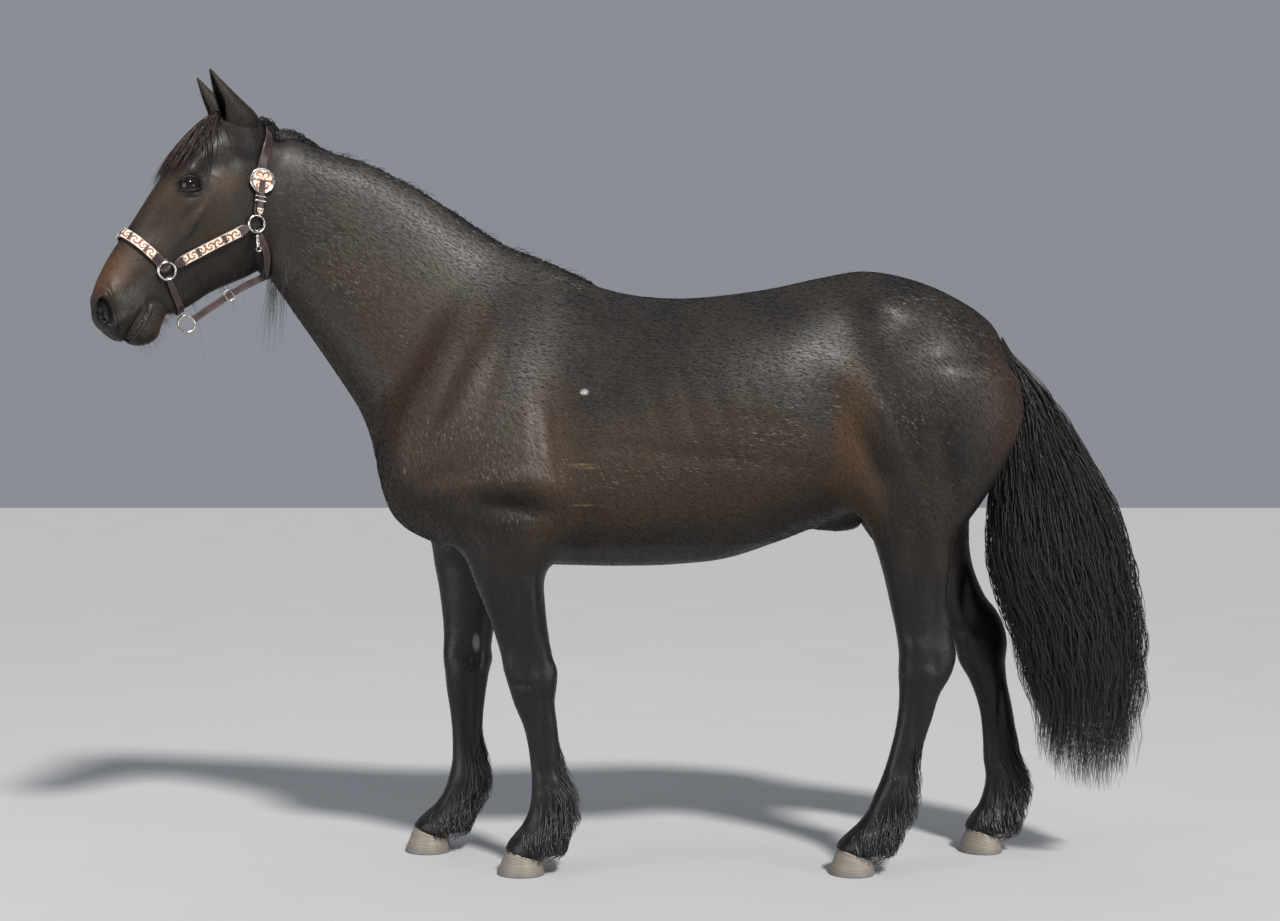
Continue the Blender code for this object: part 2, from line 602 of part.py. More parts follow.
def ear(name, side):
    """A pricked ear: a tapering scoop, open to the front, whose tip leans in and forward."""
    root, tip = head_place(0.050, 0.045, side * 0.050), head_place(-0.006, 0.198, side * 0.062)
    axis = (tip - root) / np.linalg.norm(tip - root)
    open_way = HEAD[1] * 0.45 + HEAD[0] * 0.75 + HEAD[2] * side * 0.55
    open_way -= axis * (open_way @ axis)
    open_way /= np.linalg.norm(open_way)
    across = np.cross(axis, open_way)
    bm = bmesh.new()
    rings = []
    for place, half, depth in EAR_PROFILE:
        middle = root + (tip - root) * place
        wall = min(EAR_WALL, half * 0.45)
        scoop = min(1.0, 0.25 + place * 4)
        turns = np.radians(np.linspace(-125, 125, 8))
        outer = [middle + across * half * math.sin(t) - open_way * depth * math.cos(t) for t in turns]
        inner = [
            middle
            + across * (half - wall) * math.sin(t)
            - open_way * ((depth - wall) * math.cos(t) * scoop - (1 - scoop) * depth * 0.6)
            for t in turns[::-1]
        ]
        rings.append(outer + inner)
    loft_rings(bm, rings)
    return new_object(name, mesh_from(bm, name), COAT)


def eyeball(name, side):
    bm = bmesh.new()
    place = Matrix.Translation(head_place(EYE[0], EYE[1], side * EYE[2]))
    bmesh.ops.create_uvsphere(bm, u_segments=12, v_segments=8, radius=EYE_RADIUS, matrix=place)
    return new_object(name, mesh_from(bm, name), EYEBALL)


# ---------------------------------------------------------------- tail
# z, back edge, front edge, half-width, -, skew
TAIL_ROWS = [
    (1.345, 0.835, 0.785, 0.022, 0, 0), (1.27, 0.885, 0.800, 0.036, 0, 0), (1.18, 0.930, 0.790, 0.050, 0, 0),
    (1.06, 1.000, 0.775, 0.066, 0, 0), (0.90, 1.090, 0.765, 0.082, 0, 0), (0.75, 1.138, 0.757, 0.092, 0, 0),
    (0.60, 1.165, 0.802, 0.094, 0, 0), (0.45, 1.176, 0.846, 0.088, 0, 0), (0.33, 1.165, 0.880, 0.074, 0, 0),
    (0.24, 1.138, 0.940, 0.054, 0, 0), (0.165, 1.080, 1.010, 0.022, 0, 0),
]  # fmt: skip


def tail():
    loft = Loft((0, 0, 0), UP, BACKWARD, TAIL_ROWS, power=2.0, caps=(0.03, 0.02))
    bm = bmesh.new()
    loft_rings(bm, [loft.ring(z, 14) for z in np.linspace(loft.place[0], loft.place[-1], 18)])
    return new_object("tail", mesh_from(bm, "tail"), HAIR)


# ---------------------------------------------------------------- hair and straps that lie on the body
CLEARANCE = 0.003  # under a strap, before it is trimmed
SKIN_CLEARANCE = 0.0018  # between the body and what is trimmed to it
HAIR_EDGE = 0.004  # how thick a sheet of hair is at its edges


def surface_beyond(tree, origin, way):
    """Where a ray from inside the body comes out, and the outward normal there."""
    place, normal, _, _ = tree.ray_cast(Vector(origin), Vector(way).normalized())
    return np.array(place), np.array(normal)


def hair_shell(name, tree, rows, lift):
    """A sheet of hair that starts just under the skin. rows: origin inside the body and its directions."""
    bm = bmesh.new()
    rings = []
    for i, (origin, ways) in enumerate(rows):
        along = i / (len(rows) - 1)
        outer, inner = [], []
        for j, way in enumerate(ways):
            place, normal = surface_beyond(tree, origin, way)
            height = lift(along, j / (len(ways) - 1))
            outer.append(place + normal * (HAIR_EDGE + height))
            inner.append(place - normal * 0.006)
        rings.append(outer + inner[::-1])
    loft_rings(bm, rings)
    return new_object(name, mesh_from(bm, name), HAIR)


# Inside the crest, from the poll to the withers: x, y, z
CREST_LINE = [
    (-1.085, -0.050, 1.812), (-0.93, -0.028, 1.742), (-0.80, -0.012, 1.690), (-0.66, -0.004, 1.612),
    (-0.54, 0.000, 1.525), (-0.42, 0.000, 1.470), (-0.30, 0.000, 1.425),
]  # fmt: skip


def smooth_line(points, count):
    """Points evenly along the smooth curve through a few given ones."""
    points = np.array(points, float)
    steps = np.linalg.norm(np.diff(points, axis=0), axis=1)
    rows = np.column_stack([np.concatenate([[0], np.cumsum(steps)]), points])
    _, columns = smooth_rows([tuple(row) for row in rows], count)
    return columns[1:].T


def mane(tree):
    """Short hair that stands on the crest and falls to the right."""
    line = smooth_line(CREST_LINE, 24)
    rows = []
    for i, origin in enumerate(line):
        ahead = line[min(i + 1, len(line) - 1)] - line[max(i - 1, 0)]
        ahead /= np.linalg.norm(ahead)
        right = np.array((0.0, 1.0, 0.0))
        up = np.cross(ahead, right)
        up *= np.sign(up[2])
        fall = 112 - 50 * (i / (len(line) - 1)) ** 2
        turns = np.radians(np.linspace(-24, fall, 8))
        rows.append((origin, [up * math.cos(t) + right * math.sin(t) for t in turns]))
    return hair_shell("mane", tree, rows, lambda u, v: 0.012 * math.sin(math.pi * v) ** 0.7)


def forelock(tree):
    """Hair that falls from between the ears over the forehead."""
    rows = []
    for i in range(9):
        along = i / 8
        spread = 6 + 32 * math.sin(math.pi * along) ** 1.2
        turns = np.radians(np.linspace(-spread, spread, 6))
        origin = head_place(0.050 + 0.180 * along, 0.03, 0.0)
        rows.append((origin, [HEAD[1] * math.cos(t) + HEAD[2] * math.sin(t) for t in turns]))
    return hair_shell(
        "forelock", tree, rows, lambda u, v: 0.008 * math.sin(math.pi * v) * (1 - 0.7 * u)
    )


# The halter, in the head's frame: down the face, towards the forehead, to the side
THROAT_RING, NOSE_RING, CHIN_RING = (0.244, -0.116, 0.085), (0.476, -0.008, 0.065), (0.535, -0.116, 0.0)
RING_RADIUS, RING_WIRE = 0.0215, 0.0032
CONCHO = (0.145, -0.064, 0.10)
CONCHO_RADIUS, CONCHO_THICKNESS = 0.033, 0.003
# Straps that run from one side to the other: their left half, width, thickness, stations
STRAPS_ACROSS = {
    "halter_crown": (
        [(0.236, -0.116, 0.09), (0.145, -0.064, 0.10), (0.070, -0.024, 0.08), (0.010, -0.004, 0.00)],
        0.026, 0.0035, 30,
    ),
    "halter_noseband": (
        [(0.470, 0.000, 0.07), (0.458, 0.085, 0.065), (0.454, 0.135, 0.00)], 0.028, 0.0045, 18,
    ),
    "halter_chin_strap": (
        [(0.482, -0.014, 0.06), (0.512, -0.070, 0.05), (0.535, -0.116, 0.00)], 0.018, 0.0035, 14,
    ),
    "halter_throat_strap": (
        [(0.248, -0.122, 0.09), (0.285, -0.180, 0.07), (0.318, -0.225, 0.00)], 0.018, 0.0035, 18,
    ),
}  # fmt: skip
CHEEK_STRAP = [(0.250, -0.112, 0.09), (0.36, -0.058, 0.08), (0.470, -0.010, 0.07)], 0.028, 0.0045
JAW_STRAP = [(0.520, -0.140, 0.0), (0.455, -0.163, 0.0), (0.385, -0.190, 0.0), (0.335, -0.222, 0.0)]


def nearest_skin(tree, point):
    place, normal, _, _ = tree.find_nearest(Vector(point))
    return np.array(place), np.array(normal)


def eased(rows, rounds):
    """Rows of numbers, each drawn towards its neighbours; the two ends stay."""
    rows = np.array(rows, float)
    for _ in range(rounds):
        rows[1:-1] = (rows[:-2] + 2 * rows[1:-1] + rows[2:]) / 4
    return rows


def strap(name, tree, line, width, thickness, free=False):
    """A flat strap along a line, pushed off the body until it is clear of it."""
    ahead = np.gradient(line, axis=0)
    ahead /= np.linalg.norm(ahead, axis=1)[:, None]
    normal = np.array([HEAD[2] if free else nearest_skin(tree, point)[1] for point in line])
    normal = eased(normal, 6)
    normal -= ahead * (normal * ahead).sum(axis=1)[:, None]
    normal /= np.linalg.norm(normal, axis=1)[:, None]
    across = np.cross(ahead, normal)
    lifts = np.full(len(line), 0.0 if free else CLEARANCE)
    for i in () if free else range(len(line)):
        for edge in (-0.5, -0.25, 0.0, 0.25, 0.5):
            corner = line[i] + across[i] * width * edge
            hit, _, _, _ = tree.ray_cast(Vector(corner + normal[i] * 0.04), Vector(-normal[i]), 0.08)
            if hit:
                lifts[i] = max(lifts[i], CLEARANCE + (np.array(hit) - corner) @ normal[i])
    lifts = [max(lifts[max(i - 1, 0) : i + 2]) for i in range(len(line))]
    bm = bmesh.new()
    rings = []
    for i, lift in enumerate(lifts):
        base = line[i] + normal[i] * lift
        side = across[i] * width / 2
        over = normal[i] * thickness
        rings.append([base - side, base + side, base + side + over, base - side + over])
    loft_rings(bm, rings)
    return new_object(name, mesh_from(bm, name), LEATHER)


def ring(name, centre, facing):
    """A round metal ring."""
    bpy.ops.mesh.primitive_torus_add(
        major_radius=RING_RADIUS, minor_radius=RING_WIRE, major_segments=14, minor_segments=5,
        location=centre, rotation=Vector(facing).to_track_quat("Z", "Y").to_euler(),
    )  # fmt: skip
    obj = bpy.context.object
    mesh = evaluated(obj)
    bpy.data.objects.remove(obj, do_unlink=True)
    return new_object(name, mesh, SILVER)


def disc(name, centre, facing, radius, thickness):
    """A thick round plate with a domed edge."""
    turn = Vector(facing).to_track_quat("Z", "Y").to_matrix().to_4x4()
    bm = bmesh.new()
    bmesh.ops.create_cone(
        bm, cap_ends=True, segments=20, radius1=radius, radius2=radius * 0.86, depth=thickness,
        matrix=Matrix.Translation(centre) @ turn,
    )  # fmt: skip
    return new_object(name, mesh_from(bm, name), SILVER)


def halter(tree, around_body):
    rings = {}
    for name, place in (("throat", THROAT_RING), ("nose", NOSE_RING)):
        for side, word in ((1, "left"), (-1, "right")):
            skin, normal = nearest_skin(tree, head_place(place[0], place[1], side * place[2]))
            centre = skin + normal * 0.0075
            rings[name, side] = centre
            ring(f"halter_{name}_ring_{word}", centre, normal)
    chin = head_place(*CHIN_RING) - HEAD[1] * 0.004
    skin, normal = nearest_skin(tree, chin)
    rings["chin", 0] = skin + normal * 0.034
    ring("halter_chin_ring", rings["chin", 0], HEAD[2])

    def between_rings(points, count, on_skin=True):
        """A smooth line on the body that stops just short of the rings."""
        line = smooth_line([head_place(*p) for p in points], 200)
        if on_skin:
            line = smooth_line(eased([nearest_skin(tree, p)[0] for p in line[::8]], 4), 200)
        reach = RING_RADIUS + RING_WIRE + 0.003
        clear = [p for p in line if all(np.linalg.norm(p - centre) > reach for centre in rings.values())]
        return smooth_line(clear[::4] + [clear[-1]] * (len(clear) % 4 != 1), count)

    for name, (half, width, thickness, count) in STRAPS_ACROSS.items():
        whole = half + [(s, a, -b) for s, a, b in half[-2::-1]]
        trimmed(strap(name, tree, between_rings(whole, count), width, thickness), [around_body])
    route, width, thickness = CHEEK_STRAP
    for side, word in ((1, "left"), (-1, "right")):
        line = between_rings([(s, a, side * b) for s, a, b in route], 10)
        trimmed(strap(f"halter_cheek_strap_{word}", tree, line, width, thickness), [around_body])
    strap("halter_jaw_strap", tree, between_rings(JAW_STRAP, 9, on_skin=False), 0.018, 0.0035, free=True)
    skin, normal = nearest_skin(tree, head_place(*CONCHO))
    disc("halter_concho", skin + normal * 0.0125, normal, CONCHO_RADIUS, CONCHO_THICKNESS)


# ---------------------------------------------------------------- the body, parted
CHEEK_PLANE = (-1.112, 0, 1.65), (-1.0, -0.10, 0.09)  # behind the jaw and the ears; it faces the nose
SHOULDER_PLANE = (-0.66, 0, 1.35), (-0.754, 0, 0.656)  # across the foot of the neck; it faces the head
ELBOW_HEIGHT, STIFLE_HEIGHT = 0.80, 0.868
# Each pair's outline in the side view, (x, z), and how far it is from the middle
LIMB_REGIONS = {
    "foreleg": (
        [(-0.95, -0.2), (-0.12, -0.2), (-0.12, 0.64), (-0.372, 0.64), (-0.372, ELBOW_HEIGHT), (-0.95, ELBOW_HEIGHT)],
        0.064,
    ),
    "hindleg": (
        [(0.20, -0.2), (1.20, -0.2), (1.20, STIFLE_HEIGHT), (0.405, STIFLE_HEIGHT), (0.405, 0.62), (0.20, 0.62)],
        0.062,
    ),
}  # fmt: skip


def limb_region(name, side, slack):
    """A prism round one limb, larger by the slack where it meets the trunk."""
    outline, inner = LIMB_REGIONS[name]
    outer = 0.45
    rings = []
    for y in (side * (inner - slack), side * outer):
        top = max(z for _, z in outline)
        rings.append([(x, y, z + slack if z == top else z) for x, z in outline])
    if slack:
        middle = sum(x for x, _ in outline) / len(outline)
        edge = outline[3][0]
        push = slack if edge > middle else -slack
        rings = [[(x + push if x == edge else x, y, z) for x, y, z in ring] for ring in rings]
    bm = bmesh.new()
    loft_rings(bm, rings)
    return new_object(name + "_region", mesh_from(bm, name), None, CUTTERS)


def moved(plane, distance):
    """A plane moved along its own normal."""
    point, normal = Vector(plane[0]), Vector(plane[1]).normalized()
    return point + normal * distance, normal


def build():
    whole = whole_body()
    mesh = whole.data
    tree = BVHTree.FromPolygons([v.co for v in mesh.vertices], [p.vertices[:] for p in mesh.polygons])
    hooves = [hoof(name, *place) for name, place in HOOVES.items()]
    eyes = [eyeball("eye_left", 1), eyeball("eye_right", -1)]
    around_body = grown(whole, SKIN_CLEARANCE)
    trimmed(mane(tree), [around_body])
    trimmed(forelock(tree), [around_body])

    sockets = [grown(eye, GAP) for eye in eyes]
    ahead_of_neck = half_space("ahead_of_neck", *moved(CHEEK_PLANE, GAP / 2))
    carved(whole, "head", COAT, ahead_of_neck, sockets)
    ahead_of_trunk = half_space("ahead_of_trunk", *moved(SHOULDER_PLANE, GAP / 2))
    carved(whole, "neck", COAT, ahead_of_trunk, [half_space("behind_head", *moved(CHEEK_PLANE, -GAP / 2))])
    openings = [half_space("behind_neck", *moved(SHOULDER_PLANE, -GAP / 2))]
    for name, (_, _, side) in LIMBS.items():
        kind = name.split("_")[0]
        around_hooves = [grown(item, GAP) for item in hooves if kind[:4] in item.name and name[-4:] in item.name]
        carved(whole, name, LEG_COAT, limb_region(kind, side, 0.0), around_hooves)
        openings.append(limb_region(kind, side, GAP))
    trunk = carved(whole, "trunk", COAT, None, openings)
    bpy.data.objects.remove(whole, do_unlink=True)

    around_trunk = grown(trunk, GAP)
    trimmed(tail(), [around_trunk])
    around_head = grown(bpy.data.objects["head"], GAP)
    around_neck = grown(bpy.data.objects["neck"], GAP)
    for name, side in (("ear_left", 1), ("ear_right", -1)):
        trimmed(ear(name, side), [around_head, around_neck])
    halter(tree, around_body)


def build_all():
    build()
    home = Matrix.Translation((AHEAD, ASIDE, LIFT))
    for obj in PARTS.objects:
        obj.data.transform(home)


build_all()
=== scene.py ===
"""A life-size standing horse in a show halter, dressed with its skin, coat, hair and tack."""

import math

import bmesh
import bpy
import numpy as np
from mathutils import Matrix, Vector
from mathutils.bvhtree import BVHTree


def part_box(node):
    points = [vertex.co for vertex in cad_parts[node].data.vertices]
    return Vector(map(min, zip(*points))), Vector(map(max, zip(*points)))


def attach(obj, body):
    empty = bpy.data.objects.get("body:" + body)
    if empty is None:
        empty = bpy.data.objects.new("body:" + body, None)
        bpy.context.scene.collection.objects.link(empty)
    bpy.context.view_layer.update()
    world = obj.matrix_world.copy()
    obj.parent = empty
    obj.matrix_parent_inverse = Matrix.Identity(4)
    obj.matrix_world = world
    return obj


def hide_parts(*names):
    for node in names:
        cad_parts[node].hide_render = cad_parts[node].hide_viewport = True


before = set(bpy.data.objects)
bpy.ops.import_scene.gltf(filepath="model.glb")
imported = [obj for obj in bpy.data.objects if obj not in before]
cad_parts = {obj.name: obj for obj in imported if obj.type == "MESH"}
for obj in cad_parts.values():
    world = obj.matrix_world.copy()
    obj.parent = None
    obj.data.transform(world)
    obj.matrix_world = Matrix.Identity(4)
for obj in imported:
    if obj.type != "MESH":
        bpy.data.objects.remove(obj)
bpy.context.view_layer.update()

# ---------- the horse's form
# Flesh and bone under the hide, as one smooth field: stations along the trunk, neck, head and limbs,
# joined with fillets and raised or hollowed where muscle and bone show. The skin, coat, lids, hair and
# tack all take their places from it.
HOOF_TOE_X, HOOF_OUTER_Y, SOLE_Z = -0.512, -0.204, -0.035  # the left fore hoof, in the stations' frame
HOME = np.array(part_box("hoof_fore_left")[0]) - (HOOF_TOE_X, HOOF_OUTER_Y, SOLE_Z)
POLL = (-1.118, -0.055, 1.876)  # origin of the head's own frame
HEAD_PITCH = math.radians(55)
HEAD_TURN = math.radians(28)
NECK_ROOT = (-0.45, 0.0, 1.22)
NECK_PITCH = math.radians(38.4)
EYE = (0.268, 0.07, 0.064)  # the eyeball's middle: down the face, towards the forehead, to the side
EYE_RADIUS = 0.029
FAR = 1.0  # a field value that is surely outside the body


def turns(count):
    """Even angles round a full turn."""
    return np.arange(count) * 2 * np.pi / count


def rounded(turn, power):
    """Where each angle lies on a rounded square that reaches 1 both ways: its two coordinates."""
    return [np.sign(wave) * np.abs(wave) ** power for wave in (np.cos(turn), np.sin(turn))]


def unit(vector):
    return vector / np.linalg.norm(vector)


def smooth_min(a, b, width):
    """The lower of two fields, with a fillet of about this width where they meet."""
    overlap = np.maximum(width - np.abs(a - b), 0.0) / width
    return np.minimum(a, b) - overlap * overlap * width * 0.25


def smooth_rows(rows, count=160):
    """A few stations, resampled on the smooth curve through them. Column 0 is the place on the axis."""
    rows = np.array(sorted(rows), float)
    place = rows[:, 0]
    slope = np.gradient(rows, place, axis=0)
    fine = np.linspace(place[0], place[-1], count)
    i = np.clip(np.searchsorted(place, fine) - 1, 0, len(place) - 2)
    step = (place[i + 1] - place[i])[:, None]
    t = ((fine - place[i]) / step[:, 0])[:, None]
    start = rows[i] * (1 + 2 * t) * (1 - t) ** 2 + slope[i] * step * t * (1 - t) ** 2
    end = rows[i + 1] * t * t * (3 - 2 * t) + slope[i + 1] * step * t * t * (t - 1)
    return fine, (start + end).T


class Loft:
    """A body with a straight axis and changing oval sections.

    Each station is: place along the axis, the section's two ends across it, its half-width, its sideways
    centre, and how much wider (+) or narrower (-) it is at its first end than at its second.
    """

    def __init__(self, origin, along, across, rows, power=2.2, caps=(0.02, 0.02)):
        self.origin = np.array(origin, float)
        self.axes = np.array([along, across, np.cross(along, across)], float)
        self.place, columns = smooth_rows(rows)
        self.columns = columns[1:]
        self.power, self.caps = power, caps
        rings = np.array([self.ring(s) for s in self.place])
        self.box = rings.min(axis=(0, 1)) - 0.1, rings.max(axis=(0, 1)) + 0.1

    def section(self, s):
        at = np.clip(s, self.place[0], self.place[-1])
        high, low, half, side, skew = (np.interp(at, self.place, column) for column in self.columns)
        shrink = np.ones_like(at)
        for length, inner in zip(self.caps, (at - self.place[0], self.place[-1] - at)):
            shrink = shrink * np.sqrt(np.maximum(1 - np.clip(1 - inner / length, 0, 1) ** 2, 0.01))
        return at, (high + low) / 2, (high - low) / 2 * shrink, half * shrink, side, skew

    def ring(self, s, count=16):
        """Points round the section at s, in world coordinates."""
        _, middle, reach, half, side, skew = self.section(np.array(s))
        t, w = rounded(turns(count), 2 / self.power)
        w = w * (1 + skew * t)
        local = np.stack([np.full(count, float(s)), middle + reach * t, side + half * w], axis=1)
        return self.origin + local @ self.axes

    def __call__(self, p):
        s, a, b = ((p - self.origin) @ self.axes.T).T
        at, middle, reach, half, side, skew = self.section(s)
        across, sideways = a - middle, b - side
        t = across / reach
        width = half * np.maximum(1 + skew * np.clip(t, -1, 1), 0.15)
        size = (np.abs(t) ** self.power + np.abs(sideways / width) ** self.power) ** (1 / self.power)
        away = np.hypot(across, sideways)
        inside = np.maximum(away - away / np.maximum(size, 1e-3), -np.minimum(reach, half))
        beyond = np.abs(s - at)
        return np.where(beyond > 0, np.hypot(np.maximum(inside, 0), beyond), inside)


# Axes of the head: down the face, towards the forehead, and to the horse's left; and of the neck: upwards
# along it, and towards the crest
cp, sp, ct, st = math.cos(HEAD_PITCH), math.sin(HEAD_PITCH), math.cos(HEAD_TURN), math.sin(HEAD_TURN)
HEAD = np.array([(-cp * ct, -cp * st, -sp), (-sp * ct, -sp * st, cp), (st, -ct, 0.0)])
cp, sp = math.cos(NECK_PITCH), math.sin(NECK_PITCH)
NECK = np.array([(-cp, 0.0, sp), (sp, 0.0, cp)])
UP, BACKWARD = (0, 0, 1), (1, 0, 0)

# Trunk, from the breast to the buttocks: x, top, bottom, half-width, -, skew
TRUNK = Loft(
    (0, 0, 0), BACKWARD, UP,
    [
        (-0.83, 1.1, 0.93, 0.11, 0, -0.1), (-0.77, 1.22, 0.85, 0.178, 0, -0.12),
        (-0.68, 1.34, 0.796, 0.212, 0, -0.2), (-0.55, 1.44, 0.76, 0.226, 0, -0.4),
        (-0.42, 1.5, 0.742, 0.236, 0, -0.5), (-0.32, 1.484, 0.738, 0.248, 0, -0.5),
        (-0.2, 1.45, 0.736, 0.264, 0, -0.32), (-0.06, 1.435, 0.74, 0.28, 0, -0.16),
        (0.08, 1.444, 0.757, 0.288, 0, -0.1), (0.2, 1.462, 0.796, 0.282, 0, -0.1),
        (0.32, 1.488, 0.842, 0.268, 0, -0.12), (0.43, 1.505, 0.88, 0.264, 0, -0.16),
        (0.54, 1.488, 0.91, 0.262, 0, -0.16), (0.66, 1.44, 0.95, 0.245, 0, -0.16),
        (0.75, 1.38, 1.01, 0.205, 0, -0.18), (0.82, 1.3, 1.08, 0.13, 0, -0.15),
    ],
    power=2.15, caps=(0.05, 0.07),
)

# Neck, from inside the chest to the poll: place, crest, throat side, half-width, side, skew
NECK_LOFT = Loft(
    NECK_ROOT, NECK[0], NECK[1],
    [
        (-0.1, 0.14, -0.22, 0.1, 0.0, -0.5), (0.06, 0.235, -0.36, 0.135, 0.0, -0.5),
        (0.2, 0.248, -0.372, 0.138, 0.0, -0.48), (0.3, 0.238, -0.325, 0.124, 0.0, -0.42),
        (0.42, 0.228, -0.284, 0.108, -0.004, -0.38), (0.54, 0.216, -0.247, 0.098, -0.012, -0.34),
        (0.66, 0.19, -0.21, 0.09, -0.026, -0.28), (0.78, 0.144, -0.172, 0.08, -0.042, -0.22),
        (0.9, 0.106, -0.12, 0.066, -0.055, -0.15),
    ],
    power=2.2, caps=(0.04, 0.06),
)

# Skull and nose: place down the face, forehead side, throat side, half-width
SKULL = Loft(
    POLL, HEAD[0], HEAD[1],
    [
        (0.005, 0.062, -0.03, 0.048, 0, 0.0), (0.05, 0.104, -0.07, 0.066, 0, 0.0),
        (0.1, 0.12, -0.09, 0.076, 0, 0.05), (0.17, 0.13, -0.095, 0.083, 0, 0.1),
        (0.25, 0.132, -0.09, 0.086, 0, 0.12), (0.33, 0.129, -0.08, 0.074, 0, 0.0),
        (0.41, 0.124, -0.07, 0.061, 0, -0.12), (0.49, 0.121, -0.055, 0.053, 0, -0.16),
        (0.55, 0.115, -0.034, 0.051, 0, -0.12), (0.6, 0.104, -0.029, 0.054, 0, -0.05),
        (0.645, 0.083, -0.03, 0.054, 0, -0.05), (0.67, 0.057, -0.03, 0.047, 0, 0.0),
        (0.684, 0.028, -0.026, 0.036, 0, 0.0),
    ],
    power=2.5, caps=(0.05, 0.012),
)

JAW = Loft(
    POLL, HEAD[0], HEAD[1],
    [
        (0.1, 0.02, -0.09, 0.05, 0, 0.0), (0.16, 0.03, -0.13, 0.069, 0, 0.1),
        (0.22, 0.03, -0.16, 0.077, 0, 0.16), (0.28, 0.03, -0.188, 0.076, 0, 0.2),
        (0.335, 0.03, -0.194, 0.068, 0, 0.22), (0.38, 0.03, -0.17, 0.06, 0, 0.22),
        (0.435, 0.02, -0.139, 0.05, 0, 0.2), (0.495, 0.01, -0.116, 0.04, 0, 0.15),
        (0.56, 0.0, -0.086, 0.034, 0, 0.1),
    ],
    power=2.4, caps=(0.05, 0.03),
)

CHIN = Loft(
    POLL, HEAD[0], HEAD[1],
    [
        (0.545, -0.01, -0.078, 0.03, 0, 0.1), (0.585, -0.014, -0.086, 0.038, 0, 0.1),
        (0.615, -0.018, -0.094, 0.042, 0, 0.1), (0.64, -0.022, -0.086, 0.04, 0, 0.1),
        (0.668, -0.026, -0.06, 0.031, 0, 0.1),
    ],
    power=2.4, caps=(0.02, 0.012),
)

SHEATH = Loft(
    (0, 0, 0), BACKWARD, UP,
    [(0.29, 0.93, 0.845, 0.03, 0, 0), (0.36, 0.95, 0.826, 0.042, 0, 0), (0.44, 0.96, 0.838, 0.036, 0, 0)],
    caps=(0.03, 0.03),
)

# Limbs: z, back edge, front edge. The left and right limbs of a pair stand differently.
FORE_LEFT = [
    (0.98, -0.41, -0.66), (0.86, -0.395, -0.625), (0.76, -0.392, -0.59), (0.66, -0.388, -0.551),
    (0.56, -0.377, -0.514), (0.5, -0.366, -0.497), (0.455, -0.358, -0.487), (0.4, -0.363, -0.471),
    (0.335, -0.356, -0.445), (0.25, -0.346, -0.429), (0.2, -0.334, -0.425), (0.165, -0.324, -0.426),
    (0.12, -0.335, -0.434), (0.085, -0.34, -0.452), (0.045, -0.335, -0.484), (0.008, -0.338, -0.5),
]
FORE_RIGHT = [
    (0.98, -0.47, -0.7), (0.86, -0.475, -0.705), (0.76, -0.49, -0.706), (0.66, -0.515, -0.69),
    (0.56, -0.54, -0.679), (0.5, -0.549, -0.677), (0.455, -0.552, -0.675), (0.4, -0.56, -0.67),
    (0.335, -0.568, -0.66), (0.25, -0.57, -0.654), (0.2, -0.565, -0.656), (0.165, -0.568, -0.664),
    (0.12, -0.59, -0.68), (0.085, -0.6, -0.706), (0.045, -0.605, -0.75), (0.008, -0.606, -0.768),
]
HIND_LEFT = [
    (1.27, 0.79, 0.44), (1.12, 0.812, 0.4), (1.02, 0.776, 0.39), (0.92, 0.722, 0.4),
    (0.82, 0.652, 0.436), (0.73, 0.638, 0.463), (0.65, 0.632, 0.482), (0.58, 0.64, 0.497),
    (0.52, 0.653, 0.505), (0.47, 0.64, 0.504), (0.42, 0.612, 0.506), (0.35, 0.59, 0.5),
    (0.27, 0.562, 0.482), (0.21, 0.546, 0.463), (0.165, 0.54, 0.444), (0.12, 0.52, 0.424),
    (0.085, 0.505, 0.396), (0.045, 0.5, 0.354), (0.008, 0.496, 0.338),
]
HIND_RIGHT = [
    (1.27, 0.79, 0.44), (1.12, 0.805, 0.4), (1.02, 0.78, 0.39), (0.92, 0.748, 0.41),
    (0.82, 0.738, 0.462), (0.73, 0.748, 0.53), (0.65, 0.78, 0.59), (0.58, 0.826, 0.652),
    (0.53, 0.839, 0.69), (0.47, 0.834, 0.708), (0.42, 0.838, 0.736), (0.35, 0.852, 0.76),
    (0.27, 0.864, 0.77), (0.21, 0.87, 0.772), (0.165, 0.88, 0.778), (0.12, 0.868, 0.77),
    (0.085, 0.86, 0.756), (0.045, 0.862, 0.728), (0.008, 0.864, 0.714),
]
# Their widths at the same heights, which each pair shares: half-width, distance from the middle, skew
FORE_SIDE = [
    (0.07, 0.165, 0.0), (0.072, 0.163, 0.0), (0.07, 0.16, 0.0), (0.06, 0.155, 0.0), (0.047, 0.15, 0.0),
    (0.043, 0.147, 0.0), (0.047, 0.145, 0.0), (0.04, 0.144, -0.1), (0.031, 0.143, -0.1), (0.029, 0.142, -0.1),
    (0.034, 0.141, 0.0), (0.04, 0.141, 0.0), (0.036, 0.14, 0.0), (0.042, 0.14, 0.0), (0.056, 0.14, 0.0),
    (0.061, 0.14, 0.0),
]
HIND_SIDE = [
    (0.08, 0.15, 0.0), (0.104, 0.156, 0.0), (0.108, 0.16, 0.0), (0.096, 0.16, 0.0), (0.078, 0.158, 0.0),
    (0.064, 0.154, 0.0), (0.052, 0.15, -0.1), (0.042, 0.147, -0.2), (0.044, 0.145, -0.2),
    (0.046, 0.144, -0.1),
    (0.038, 0.143, 0.0), (0.031, 0.142, 0.0), (0.029, 0.141, 0.0), (0.033, 0.14, 0.0), (0.04, 0.14, 0.0),
    (0.036, 0.139, 0.0), (0.042, 0.138, 0.0), (0.055, 0.138, 0.0), (0.06, 0.138, 0.0),
]
